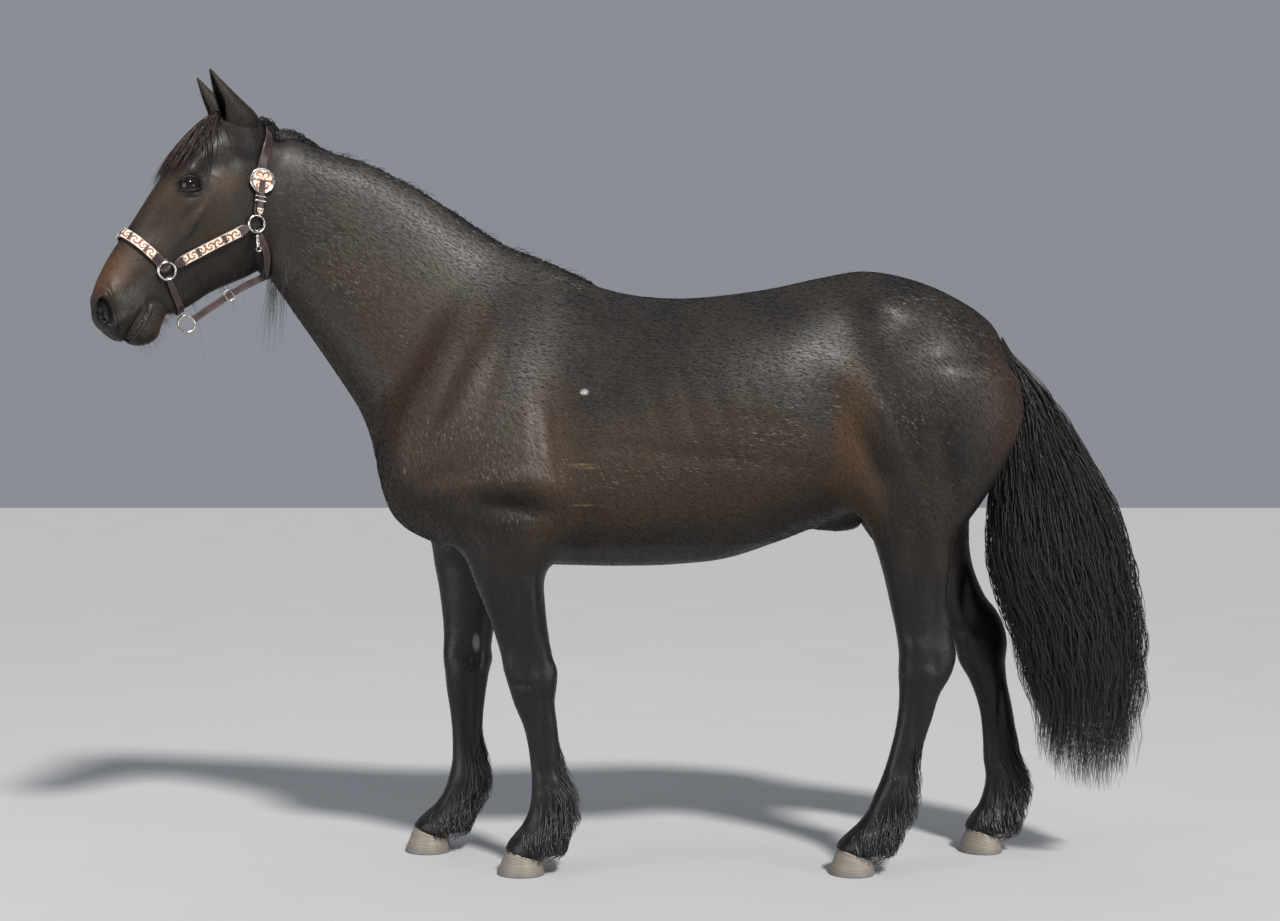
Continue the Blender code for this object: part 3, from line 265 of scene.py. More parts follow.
# The long hair behind each fetlock: z, back edge and front edge from the limb's middle, half-width
FEATHER = [
    (0.33, 0.044, -0.02, 0.018), (0.28, 0.048, -0.02, 0.024), (0.23, 0.056, -0.02, 0.03),
    (0.18, 0.072, -0.02, 0.042), (0.12, 0.09, -0.04, 0.06), (0.06, 0.088, -0.06, 0.072),
    (-0.012, 0.068, -0.055, 0.07),
]


def limb_loft(edges, sides, side):
    """One limb's loft; side is -1 for the left and +1 for the right."""
    rows = [
        (z, back, front, half, side * out, skew)
        for (z, back, front), (half, out, skew) in zip(edges, sides)
    ]
    return Loft((0, 0, 0), UP, BACKWARD, rows, power=2.2, caps=(0.01, 0.06))


def feather_loft(edges, sides, side):
    """The fetlock's hair as one mass."""
    z = [row[0] for row in reversed(edges)]
    middle = [(row[1] + row[2]) / 2 for row in reversed(edges)]
    out = [row[1] for row in reversed(sides)]
    rows = []
    for place, back, front, half in FEATHER:
        x = np.interp(place, z, middle)
        rows.append((place, x + back, x + front, half, side * np.interp(place, z, out), 0.15))
    return Loft((0, 0, 0), UP, BACKWARD, rows, power=2.0, caps=(0.02, 0.06))


LIMBS = {
    "foreleg_left": (FORE_LEFT, FORE_SIDE, -1),
    "foreleg_right": (FORE_RIGHT, FORE_SIDE, 1),
    "hindleg_left": (HIND_LEFT, HIND_SIDE, -1),
    "hindleg_right": (HIND_RIGHT, HIND_SIDE, 1),
}
LIMB_LOFTS = [limb_loft(*limb) for limb in LIMBS.values()]

# Muscle and bone under the skin, on both sides: x, y, z, its three radii, tilt in the side view in degrees,
# and its height. Hollows have a negative height.
BODY_RELIEF = [
    (-0.6, 0.18, 1.12, 0.1, 0.12, 0.26, -28, 0.028),  # shoulder blade
    (-0.72, 0.19, 1.0, 0.09, 0.09, 0.1, 0, 0.02),  # point of the shoulder
    (-0.5, 0.22, 0.98, 0.12, 0.1, 0.11, 0, 0.022),  # triceps
    (-0.42, 0.2, 0.8, 0.05, 0.08, 0.05, 0, 0.01),  # elbow
    (-0.76, 0.1, 0.92, 0.07, 0.07, 0.08, 0, 0.008),  # breast muscle
    (-0.86, 0.0, 0.98, 0.1, 0.035, 0.14, 0, -0.016),  # furrow between them
    (-0.74, 0.14, 1.22, 0.05, 0.12, 0.2, -28, -0.012),  # furrow before the shoulder blade
    (-0.33, 0.24, 1.0, 0.05, 0.12, 0.22, 8, -0.012),  # behind the triceps
    (0.38, 0.25, 1.32, 0.07, 0.1, 0.1, 20, -0.02),  # hollow of the flank
    (0.34, 0.26, 1.1, 0.05, 0.12, 0.16, 20, -0.012),
    (0.46, 0.2, 1.41, 0.06, 0.08, 0.05, 0, 0.014),  # point of the hip
    (0.62, 0.22, 1.22, 0.14, 0.12, 0.2, 20, 0.02),  # haunch
    (0.75, 0.12, 1.17, 0.08, 0.1, 0.12, 0, 0.012),  # buttock
    (0.84, 0.0, 1.12, 0.12, 0.03, 0.24, 0, -0.03),  # cleft between the buttocks
    (0.46, 0.2, 0.92, 0.06, 0.08, 0.07, 0, 0.012),  # stifle
]


def head_place(s, a, b):
    """World place of a point in the head's own frame; b is positive to the horse's left."""
    return np.array(POLL) + s * HEAD[0] + a * HEAD[1] + b * HEAD[2]


# The same for the head, in its own frame: down the face, towards the forehead, to the side, radii, height
HEAD_RELIEF = [
    (0.238, 0.094, 0.085, 0.04, 0.02, 0.03, 0.014),  # brow over the eye
    (0.268, 0.07, 0.085, 0.022, 0.022, 0.03, -0.006),  # the eye's own hollow
    (0.31, 0.046, 0.085, 0.035, 0.022, 0.03, 0.007),  # cheekbone under the eye
    (0.355, 0.01, 0.07, 0.055, 0.01, 0.03, 0.007),  # facial crest
    (0.2, 0.058, 0.08, 0.028, 0.022, 0.03, -0.009),  # hollow above the eye
    (0.4, 0.07, 0.05, 0.055, 0.02, 0.03, -0.007),  # hollow beside the nose
    (0.45, -0.04, 0.05, 0.05, 0.025, 0.03, -0.006),  # hollow of the cheek
    (0.27, -0.1, 0.07, 0.07, 0.05, 0.04, 0.008),  # masseter
    (0.622, 0.08, 0.056, 0.028, 0.02, 0.03, 0.01),  # wing of the nostril
    (0.668, 0.04, 0.05, 0.014, 0.028, 0.03, 0.006),
    (0.644, 0.056, 0.062, 0.013, 0.024, 0.03, -0.02),  # nostril
]


def relief(p, bumps):
    """How far the bumps and hollows raise the surface at each point."""
    total = np.zeros(len(p))
    for x, y, z, rx, ry, rz, *tilt, height in bumps:
        d = p - (x, y, z)
        if any(tilt):
            c, s = math.cos(math.radians(tilt[0])), math.sin(math.radians(tilt[0]))
            first, last = d[:, 0] * c + d[:, 2] * s, d[:, 2] * c - d[:, 0] * s
            d = np.stack([first, d[:, 1], last], axis=1)
        total += height * np.exp(-((d / (rx, ry, rz)) ** 2).sum(axis=1))
    return total


def near(loft, p):
    """The loft's field, worked out only at the points close enough to feel it."""
    out = np.full(len(p), FAR)
    inside = ((p > loft.box[0]) & (p < loft.box[1])).all(axis=1)
    if inside.any():
        out[inside] = loft(p[inside])
    return out


def head_local(points):
    """Down the face, towards the forehead, and the distance from the head's middle plane."""
    local = (points - np.array(POLL)) @ HEAD.T
    local[:, 2] = np.abs(local[:, 2])
    return local


def mirrored(p):
    """Points moved to the right half of the body."""
    return np.stack([p[:, 0], np.abs(p[:, 1]), p[:, 2]], axis=1)


def body(p):
    """The horse's form at n points: below zero inside it, and above zero outside."""
    field = smooth_min(near(TRUNK, p), near(NECK_LOFT, p), 0.12)
    field = smooth_min(field, near(SHEATH, p), 0.04)
    for loft in LIMB_LOFTS:
        field = smooth_min(field, near(loft, p), 0.08)
    field = field - relief(mirrored(p), BODY_RELIEF)
    local = head_local(p)
    head = smooth_min(near(SKULL, p), near(JAW, p), 0.04)
    head = smooth_min(head, near(CHIN, p), np.interp(local[:, 0], (0.565, 0.62), (0.03, 0.006)))
    return smooth_min(field, head - relief(local, HEAD_RELIEF), 0.05)


def onto_form(points, field, rounds=4):
    """Points moved straight to the surface where the field is zero."""
    corners = np.array([(1, 1, 1), (1, -1, -1), (-1, 1, -1), (-1, -1, 1)], float)
    step = 0.0008
    for _ in range(rounds):
        values = [field(points + corner * step) for corner in corners]
        slope = sum(v[:, None] * corner for v, corner in zip(values, corners)) / (4 * step)
        middle = sum(values) / 4
        steep = np.maximum((slope**2).sum(axis=1), 0.25)
        points = points - (middle / steep)[:, None] * slope
    return points


# Finer forms that only the skin shows, in the same terms as the two lists above
BODY_DETAIL = [
    (-0.7, 0.2, 1.2, 0.03, 0.12, 0.17, -24, 0.01),  # ridge before the shoulder blade
    (-0.64, 0.21, 1.16, 0.022, 0.12, 0.16, -24, -0.008), (-0.53, 0.23, 1.2, 0.03, 0.12, 0.13, -20, -0.006),
    (-0.47, 0.25, 0.96, 0.1, 0.1, 0.034, -8, 0.013),  # ledge of muscle over the elbow, and the crease
    (-0.47, 0.25, 0.895, 0.09, 0.1, 0.028, -8, -0.022),
    (-0.385, 0.25, 1.06, 0.026, 0.12, 0.11, 6, -0.01),  # behind the triceps
    (-0.8, 0.13, 1.0, 0.016, 0.08, 0.1, -30, -0.008),  # fold beside the breast
    (-0.54, 0.2, 0.84, 0.1, 0.08, 0.03, -12, -0.007),
    (-0.6, 0.17, 0.72, 0.02, 0.05, 0.09, -10, -0.005),  # between the forearm's muscles
    (-0.5, 0.2, 0.74, 0.018, 0.05, 0.1, -14, -0.005),
    (0.42, 0.24, 1.02, 0.022, 0.1, 0.13, 24, -0.016),  # fold of the flank
    (0.47, 0.25, 1.05, 0.022, 0.1, 0.13, 24, 0.01),
    (0.6, 0.22, 1.02, 0.02, 0.09, 0.16, 12, -0.007),  # between the thigh's muscles
    (0.66, 0.2, 0.98, 0.02, 0.09, 0.17, 10, 0.005),
    (0.54, 0.2, 0.8, 0.018, 0.05, 0.11, 10, -0.006),  # gaskin
    (0.5, 0.26, 1.34, 0.05, 0.08, 0.05, 0, -0.01), (0.0, 0.28, 1.02, 0.3, 0.1, 0.018, -6, -0.004),
    (-0.1, 0.27, 1.1, 0.012, 0.1, 0.14, 14, -0.0018),  # ribs
    (-0.02, 0.27, 1.1, 0.012, 0.1, 0.14, 14, -0.0018), (0.06, 0.28, 1.1, 0.012, 0.1, 0.14, 16, -0.0018),
    (0.14, 0.28, 1.1, 0.012, 0.1, 0.13, 18, -0.0018),
]
HEAD_DETAIL = [
    (0.64, 0.01, 0.055, 0.018, 0.012, 0.03, 0.005),
    (0.6, 0.02, 0.06, 0.02, 0.03, 0.03, 0.004),  # side of the upper lip
    (0.562, -0.022, 0.052, 0.01, 0.01, 0.03, -0.005),  # corner of the mouth
    (0.585, -0.01, 0.054, 0.03, 0.008, 0.03, 0.003), (0.54, 0.03, 0.056, 0.04, 0.016, 0.03, -0.003),
    (0.325, 0.014, 0.078, 0.06, 0.013, 0.04, 0.004),  # the facial crest
    (0.372, -0.026, 0.07, 0.05, 0.022, 0.04, -0.004),
    (0.36, -0.1, 0.065, 0.016, 0.05, 0.04, -0.003),  # front edge of the cheek muscle
    (0.15, 0.026, 0.085, 0.026, 0.026, 0.04, -0.005),  # behind the eye, before the ear
    (0.115, 0.0, 0.08, 0.03, 0.024, 0.04, 0.004),
    (0.268, 0.07, 0.09, 0.017, 0.017, 0.05, -0.018),  # the socket that the lids cover
]
# Bone and sinew of the lower legs: height, place from the front edge (-1) to the back (1), from the inner
# side (-1) to the outer (1), the three radii, and the height of the bump
LEG_GROOVES = [
    (0.33, 0.1, 1.0, 0.0075, 0.018, 0.1, -0.0042),  # between the cannon bone and the sinews
    (0.33, 0.1, -1.0, 0.0075, 0.018, 0.1, -0.0042), (0.33, 0.72, 1.0, 0.009, 0.018, 0.1, 0.0022),
    (0.2, 0.45, 1.0, 0.013, 0.018, 0.02, 0.0035),  # fetlock
    (0.205, -0.35, 1.0, 0.016, 0.018, 0.018, 0.003),
]
LEG_DETAIL = {
    "fore": LEG_GROOVES + [
        (0.49, -0.75, 0.55, 0.022, 0.022, 0.03, 0.005),  # bones of the knee
        (0.49, -0.75, -0.55, 0.022, 0.022, 0.03, 0.005), (0.448, -0.2, 1.0, 0.034, 0.022, 0.007, -0.003),
        (0.48, 0.95, 0.25, 0.014, 0.02, 0.022, 0.006), (0.488, 0.35, 1.0, 0.011, 0.022, 0.034, -0.005),
        (0.488, 0.35, -1.0, 0.011, 0.022, 0.034, -0.005),
        (0.66, 0.05, 1.0, 0.012, 0.03, 0.11, -0.006),  # between the forearm's muscles
        (0.62, 0.6, 1.0, 0.014, 0.03, 0.1, 0.0035), (0.7, -0.55, 0.8, 0.02, 0.03, 0.09, 0.0045),
    ],
    "hind": LEG_GROOVES + [
        (0.6, 0.85, 0.3, 0.018, 0.022, 0.036, 0.005),  # point of the hock
        (0.665, 0.42, 1.0, 0.014, 0.03, 0.065, -0.009),  # before the big sinew
        (0.665, 0.42, -1.0, 0.014, 0.03, 0.065, -0.009),
        (0.54, -0.45, 0.9, 0.022, 0.02, 0.026, 0.005),  # bones of the hock
        (0.54, -0.45, -0.9, 0.022, 0.02, 0.026, 0.005), (0.495, 0.25, 1.0, 0.012, 0.02, 0.022, -0.0035),
        (0.48, -0.1, 1.0, 0.018, 0.02, 0.014, 0.003),
        (0.78, -0.15, 1.0, 0.012, 0.03, 0.11, -0.006),  # gaskin
        (0.8, 0.35, 1.0, 0.014, 0.03, 0.09, 0.0045), (0.74, -0.65, 0.9, 0.014, 0.03, 0.1, 0.0035),
    ],
}

LEG_BOLDNESS = 1.35  # how far these stand out, as a share of the heights above


def leg_bumps():
    """The legs' details in the stations' frame."""
    bumps = []
    for name, (edges, sides, side) in LIMBS.items():
        place, back, front = np.array(edges[::-1]).T
        half, out, _ = np.array(sides[::-1]).T
        for z, along, across, *radii, height in LEG_DETAIL[name[:4]]:
            ends = np.interp(z, place, front), np.interp(z, place, back)
            x = sum(ends) / 2 + along * (ends[1] - ends[0]) / 2
            y = side * (np.interp(z, place, out) + across * np.interp(z, place, half))
            bumps.append((x, y, z, *radii, height * LEG_BOLDNESS))
    return bumps


LEG_BUMPS = leg_bumps()
COAT_DEPTH = 0.0022
LIP_CORNER, LIP_FRONT = (0.556, -0.024), (0.69, -0.036)  # the mouth's line, in the head's own frame


def lip_groove(local):
    """The parting of the lips: how far the skin dips at points in the head's own frame."""
    along = (local[:, 0] - LIP_CORNER[0]) / (LIP_FRONT[0] - LIP_CORNER[0])
    line = LIP_CORNER[1] + (LIP_FRONT[1] - LIP_CORNER[1]) * along
    line = line - 0.006 * np.sin(np.pi * np.clip(along, 0, 1))
    open_part = np.clip(along * 6, 0, 1) * (np.abs(local[:, 2]) < 0.08)
    across = local[:, 1] - line
    parting = 0.004 * np.exp(-((across / 0.0018) ** 2))
    lip_edges = 0.0022 * np.exp(-(((np.abs(across) - 0.007) / 0.005) ** 2))
    return open_part * (parting - lip_edges)


# The nostril: the middle of its opening down the face and towards the forehead, the way its long axis goes
# to its lower end, its half-length and half-width, and its depth
NOSTRIL, NOSTRIL_WAY, NOSTRIL_HALF, NOSTRIL_DEPTH = (0.6435, 0.052), (0.61, -0.79), (0.037, 0.0145), 0.022


def nostril(local):
    """A curved opening with a raised rim and a groove behind it: how far the skin dips."""
    away = local[:, :2] - NOSTRIL
    along = away @ NOSTRIL_WAY / NOSTRIL_HALF[0]
    rearwards = -(away @ (-NOSTRIL_WAY[1], NOSTRIL_WAY[0])) / NOSTRIL_HALF[1] - 0.25 * along**2 + 0.1
    size = np.hypot(along, rearwards)
    open_share = np.clip((1.05 - size) / 0.5, 0, 1)
    pit = NOSTRIL_DEPTH * open_share**2 * (3 - 2 * open_share)
    behind = np.clip(0.5 + 0.5 * rearwards, 0.25, 1)
    rim = 0.005 * np.exp(-(((size - 1.22) / 0.2) ** 2)) * behind
    groove = 0.0035 * np.exp(-(((size - 1.75) / 0.28) ** 2)) * behind
    on_side = np.clip((local[:, 2] - 0.014) / 0.014, 0, 1)
    return on_side * (pit - rim + groove)


# The gristle at each ear's root: two points on its middle line and their radii
EAR_BASE = ((0.082, 0.012, 0.052), 0.026), ((0.036, 0.092, 0.054), 0.035)


def ear_base(local):
    """The field of the ear's root, in the head's own frame."""
    (low, low_radius), (high, high_radius) = EAR_BASE
    low, high = np.array(low), np.array(high)
    share = np.clip((local - low) @ (high - low) / ((high - low) @ (high - low)), 0, 1)
    away = np.linalg.norm(local - low - share[:, None] * (high - low), axis=1)
    return away - low_radius - (high_radius - low_radius) * share


def hide(p):
    """The skin's field: the body's form with its finer shapes, less the coat's depth."""
    local = head_local(p)
    field = body(p) - relief(mirrored(p), BODY_DETAIL) + COAT_DEPTH
    low = np.flatnonzero(p[:, 2] < 0.95)
    if len(low):
        field[low] -= relief(p[low], LEG_BUMPS)
    on_head = np.flatnonzero((local[:, 0] > -0.1) & (local[:, 0] < 0.8) & (p[:, 0] < -0.95))
    if len(on_head):
        local = local[on_head]
        field[on_head] = smooth_min(field[on_head], ear_base(local) + COAT_DEPTH, 0.045)
        field[on_head] += lip_groove(local) + nostril(local) - relief(local, HEAD_DETAIL)
    return field


# ---------- skin
# The hide: one closed surface over head, neck, trunk and legs, finer on the face and the lower legs. The
# ears and the lids are shells of their own in the same mesh, set into it. It lies inside the coat by the
# hair's depth.
SKIN_GRID = 0.014
EYES = {"eye_left": 1, "eye_right": -1}


def new_object(name, mesh):
    obj = bpy.data.objects.new(name, mesh)
    bpy.context.scene.collection.objects.link(obj)
    return obj


def mesh_from(bm, name):
    bmesh.ops.recalc_face_normals(bm, faces=bm.faces)
    mesh = bpy.data.meshes.new(name)
    bm.to_mesh(mesh)
    bm.free()
    mesh.shade_smooth()
    return mesh


def add_rings(bm, rings, ends=True, closed=True):
    """Skin a row of rings that have the same number of points."""
    verts = [[bm.verts.new(point) for point in ring] for ring in rings]
    count = len(rings[0])
    for first, second in zip(verts, verts[1:]):
        for i in range(count if closed else count - 1):
            j = (i + 1) % count
            bm.faces.new((first[i], first[j], second[j], second[i]))
    if ends:
        bm.faces.new(verts[0])
        bm.faces.new(reversed(verts[-1]))
    return verts


def settled(obj):
    """A plain object in place of one with modifiers."""
    graph = bpy.context.evaluated_depsgraph_get()
    mesh = bpy.data.meshes.new_from_object(obj.evaluated_get(graph))
    name = obj.name
    bpy.data.objects.remove(obj, do_unlink=True)
    return new_object(name, mesh)


def coordinates(mesh):
    points = np.empty(len(mesh.vertices) * 3, np.float32)
    mesh.vertices.foreach_get("co", points)
    return points.reshape(-1, 3).astype(float)


def put_coordinates(mesh, points):
    mesh.vertices.foreach_set("co", np.asarray(points, np.float32).ravel())
    mesh.update()


def coarse_places(points):
    """Where the first grid is halved: the head and the lower legs."""
    local = head_local(points)
    on_head = (local[:, 0] > 0.02) & (local[:, 1] > -0.24) & (points[:, 0] < -1.06)
    return on_head | (points[:, 2] < 0.72)


def fine_places(points):
    """Where it is halved again: round the eyes and over the muzzle and lips."""
    local = head_local(points)
    by_eye = np.linalg.norm(local - (0.262, 0.066, 0.08), axis=1) < 0.075
    return (by_eye | (local[:, 0] > 0.5)) & (points[:, 0] < -1.06)


def finest_places(points):
    """And once more: the nostrils, and the parting of the lips."""
    local = head_local(points)
    by_nostril = np.linalg.norm((local - (0.645, 0.05, 0.05)) / (1, 1.3, 1), axis=1) < 0.04
    by_lips = (np.abs(local[:, 1] + 0.034) < 0.016) & (local[:, 0] > 0.54) & (local[:, 0] < 0.71)
    return (by_nostril | by_lips) & (points[:, 0] < -1.06)


def halved(obj, chosen):
    """Halve the grid where a test says so, and move the points there onto the form."""
    bm = bmesh.new()
    bm.from_mesh(obj.data)
    bm.faces.ensure_lookup_table()
    middles = np.array([face.calc_center_median()[:] for face in bm.faces])
    picked = np.flatnonzero(chosen(middles))
    edges = {edge for i in picked for edge in bm.faces[i].edges}
    bmesh.ops.subdivide_edges(bm, edges=list(edges), cuts=1, use_grid_fill=True)
    bm.to_mesh(obj.data)
    bm.free()
    points = coordinates(obj.data)
    near_by = np.flatnonzero(chosen(points))
    points[near_by] = onto_form(points[near_by], hide)
    put_coordinates(obj.data, points)


def skin_surface():
    bm = bmesh.new()
    for loft in [TRUNK, NECK_LOFT, SHEATH, SKULL, JAW, CHIN] + LIMB_LOFTS:
        count = max(6, int((loft.place[-1] - loft.place[0]) / 0.03))
        add_rings(bm, [loft.ring(s) for s in np.linspace(loft.place[0], loft.place[-1], count)])
    obj = new_object("skin", mesh_from(bm, "skin"))
    remesh = obj.modifiers.new("even", "REMESH")
    remesh.mode = "VOXEL"
    remesh.voxel_size = SKIN_GRID
    smooth = obj.modifiers.new("smooth", "SMOOTH")
    smooth.iterations = 3
    obj = settled(obj)
    put_coordinates(obj.data, onto_form(coordinates(obj.data), hide))
    for chosen in (coarse_places, fine_places, finest_places):
        halved(obj, chosen)
    return obj


skin = skin_surface()


def eye_frame(side):
    """The eyeball's middle, the way it looks, the way to its front corner, and the way to its upper lid."""
    middle = head_place(EYE[0], EYE[1], side * EYE[2])
    look = unit(HEAD[2] * side + HEAD[1] * 0.2 + HEAD[0] * 0.1)
    corner = HEAD[0] * 0.65 + HEAD[1] * 0.76
    corner = unit(corner - look * (corner @ look))
    upper = HEAD[1] * 0.65 - HEAD[0] * 0.76
    return middle, look, corner, unit(upper - (look * (upper @ look) + corner * (upper @ corner)))


# The lids' rings, from under the lid outwards: how many times the opening's size, height over the eyeball
# for the upper and the lower lid, and how far the ring has joined the skin
LID_RINGS = [
    (1.16, 0.0002, 0.0002, 0.0), (1.0, 0.0003, 0.0003, 0.0), (0.985, 0.0018, 0.0014, 0.0),
    (1.03, 0.0034, 0.0026, 0.0), (1.12, 0.0044, 0.0032, 0.0), (1.24, 0.0048, 0.0034, 0.05),
    (1.34, 0.003, 0.0016, 0.15), (1.42, 0.0016, 0.001, 0.25), (1.54, 0.006, 0.0028, 0.4),
    (1.7, 0.0086, 0.004, 0.62), (1.9, 0.0066, 0.0032, 0.82), (2.1, 0.005, 0.0026, 0.95),
    (2.4, 0.0, 0.0, 1.0),
]
CORNER_REACH = 0.0045, 0.0065  # how far the back and the front corner run past the eyeball
LID_CORNER_ANGLE, UPPER_LID_ANGLE, LOWER_LID_ANGLE = math.radians(76), math.radians(35), math.radians(26)


def lids(bm, side):
    """Both lids as one collar round the opening, with a rounded rim and a fold above."""
    middle, look, corner, upper = eye_frame(side)
    turn = turns(72)
    along = np.cos(turn)
    bow = (1 - np.abs(along) ** 2.4) ** 0.75
    rise = np.where(np.sin(turn) > 0, UPPER_LID_ANGLE * bow, -LOWER_LID_ANGLE * bow) - 0.1 * along**3
    sweep = LID_CORNER_ANGLE * along
    above = 0.5 + 0.5 * np.sin(turn)
    stretch = np.where(along > 0, CORNER_REACH[1], -CORNER_REACH[0]) * np.abs(along) ** 3
    rings = []
    for size, high, low, joined in LID_RINGS:
        tilt = np.minimum(np.hypot(sweep, rise) * size, math.radians(100))
        flat = np.stack([sweep, rise], axis=1) / np.hypot(sweep, rise)[:, None]
        flat = flat[:, :1] * corner + flat[:, 1:] * upper
        height = low + (high - low) * above
        ball = look * np.cos(tilt)[:, None] + flat * np.sin(tilt)[:, None]
        ball = middle + ball * (EYE_RADIUS + height[:, None]) + corner * stretch[:, None]
        if joined:
            reach = np.hypot(sweep, rise) * size * EYE_RADIUS
            skin_side = onto_form(middle + flat * reach[:, None] + look * EYE_RADIUS, hide)
            skin_side = skin_side + look * (height[:, None] * 0.35 - 0.0006 * (joined == 1.0))
            ball = ball * (1 - joined) + skin_side * joined
        rings.append(ball)
    add_rings(bm, rings if side > 0 else [ring[::-1] for ring in rings], ends=False)


# Along the ear, from inside the head to its tip: place, half-width, depth
EAR_PROFILE = [
    (-0.16, 0.02, 0.024), (0.0, 0.034, 0.041), (0.14, 0.038, 0.041), (0.3, 0.036, 0.035),
    (0.48, 0.031, 0.027), (0.66, 0.023, 0.019), (0.82, 0.014, 0.011), (0.94, 0.0065, 0.0055),
    (1.0, 0.0025, 0.002),
]
EAR_WALL = 0.0035


def ear_frame(side):
    root, tip = head_place(0.05, 0.045, side * 0.05), head_place(-0.006, 0.198, side * 0.062)
    axis = unit(tip - root)
    open_way = HEAD[1] * 0.35 + HEAD[0] * 0.95 + HEAD[2] * side * 0.15
    open_way = unit(open_way - axis * (open_way @ axis))
    return root, tip, open_way, np.cross(axis, open_way)


def ear(bm, side):
    """A pricked ear: a rolled leaf of gristle, closed to a tube at its root and open to the front above."""
    root, tip, open_way, across = ear_frame(side)
    place, columns = smooth_rows(EAR_PROFILE, 40)
    rings = []
    for s, (_, half, depth) in zip(place, columns.T):
        middle = root + (tip - root) * s + open_way * 0.006 * math.sin(math.pi * max(s, 0.0))
        wall = min(EAR_WALL, half * 0.4)
        reach = 174 - 46 * min(1.0, max(0.0, s - 0.16) / 0.34)
        turn = np.radians(np.linspace(-reach, reach, 25))[:, None]
        lip = 1 + 0.1 * np.abs(np.sin(turn)) ** 3
        hollow = min(1.0, max(0.15, 0.15 + s * 4))
        outer = (across * half * np.sin(turn) - open_way * depth * np.cos(turn)) * lip
        inner = across * (half - wall) * np.sin(turn) - open_way * (depth - wall) * np.cos(turn) * hollow
        rings.append(np.vstack([middle + outer, middle + inner[::-1]]))
    add_rings(bm, rings)


def add_lids_and_ears(obj):
    bm = bmesh.new()
    for side in (1, -1):
        ear(bm, side)
    bmesh.ops.recalc_face_normals(bm, faces=bm.faces)
    for side in (1, -1):
        lids(bm, side)
    bm.from_mesh(obj.data)
    bm.to_mesh(obj.data)
    bm.free()
    obj.data.shade_smooth()


add_lids_and_ears(skin)
skin_points = coordinates(skin.data)
skin_tree = BVHTree.FromPolygons(
    [Vector(point) for point in skin_points], [face.vertices[:] for face in skin.data.polygons]
)
skin.data.transform(Matrix.Translation(HOME))


class Value:
    """A number that changes over a surface, with the operators that the patterns use."""

    def __init__(self, nodes, socket):
        self.nodes, self.socket = nodes, socket

    def math(self, operation, first, second=0.0):
        node = self.nodes.node("ShaderNodeMath", {"operation": operation}, {0: first, 1: second})
        return Value(self.nodes, node.outputs[0])

    def __rsub__(self, other):
        return self.math("SUBTRACT", other, self)

    def sine(self):
        return self.math("SINE", self)

    def size(self):
        return self.math("ABSOLUTE", self)

    def step(self, start, end):
        """Eases from 0 to 1 while this goes from start to end."""
        inputs = {"Value": self, "From Min": start, "From Max": end}
        node = self.nodes.node("ShaderNodeMapRange", {"interpolation_type": "SMOOTHSTEP"}, inputs)
        return Value(self.nodes, node.outputs[0])


OPERATORS = {
    "add": "ADD", "radd": "ADD", "sub": "SUBTRACT", "mul": "MULTIPLY", "rmul": "MULTIPLY",
    "truediv": "DIVIDE", "pow": "POWER",
}
for word, operation in OPERATORS.items():
    setattr(Value, f"__{word}__", lambda self, other, kind=operation: self.math(kind, self, other))


def in_use(sockets, key):
    """A socket by its number, or the one in use that has this name."""
    return sockets[key] if isinstance(key, int) else next(s for s in sockets if s.name == key and s.enabled)


class Nodes:
    """A node tree that is built by calls."""

    def __init__(self, tree):
        self.tree = tree

    def node(self, kind, settings=None, inputs=None):
        node = self.tree.nodes.new(kind)
        for key, value in (settings or {}).items():
            setattr(node, key, value)
        for key, value in (inputs or {}).items():
            socket = in_use(node.inputs, key)
            value = value.socket if isinstance(value, Value) else value
            if isinstance(value, bpy.types.NodeSocket):
                self.tree.links.new(value, socket)
            else:
                socket.default_value = (*value, 1.0) if socket.type == "RGBA" else value
        return node

    def grow(self, kind, settings=None, **inputs):
        """The first output of a geometry node, with its inputs by name."""
        inputs = {key.replace("_", " "): value for key, value in inputs.items()}
        return self.node("GeometryNode" + kind, settings, inputs).outputs[0]

    def value(self, kind, output, settings=None, inputs=None):
        return Value(self, in_use(self.node(kind, settings, inputs).outputs, output))

    def vector(self, operation, first, second=(0, 0, 0)):
        return self.node("ShaderNodeVectorMath", {"operation": operation}, {0: first, 1: second}).outputs[0]

    def axis(self, way, place):
        """How far along a direction each point is."""
        inputs = {0: place, 1: tuple(way)}
        return self.value("ShaderNodeVectorMath", "Value", {"operation": "DOT_PRODUCT"}, inputs)


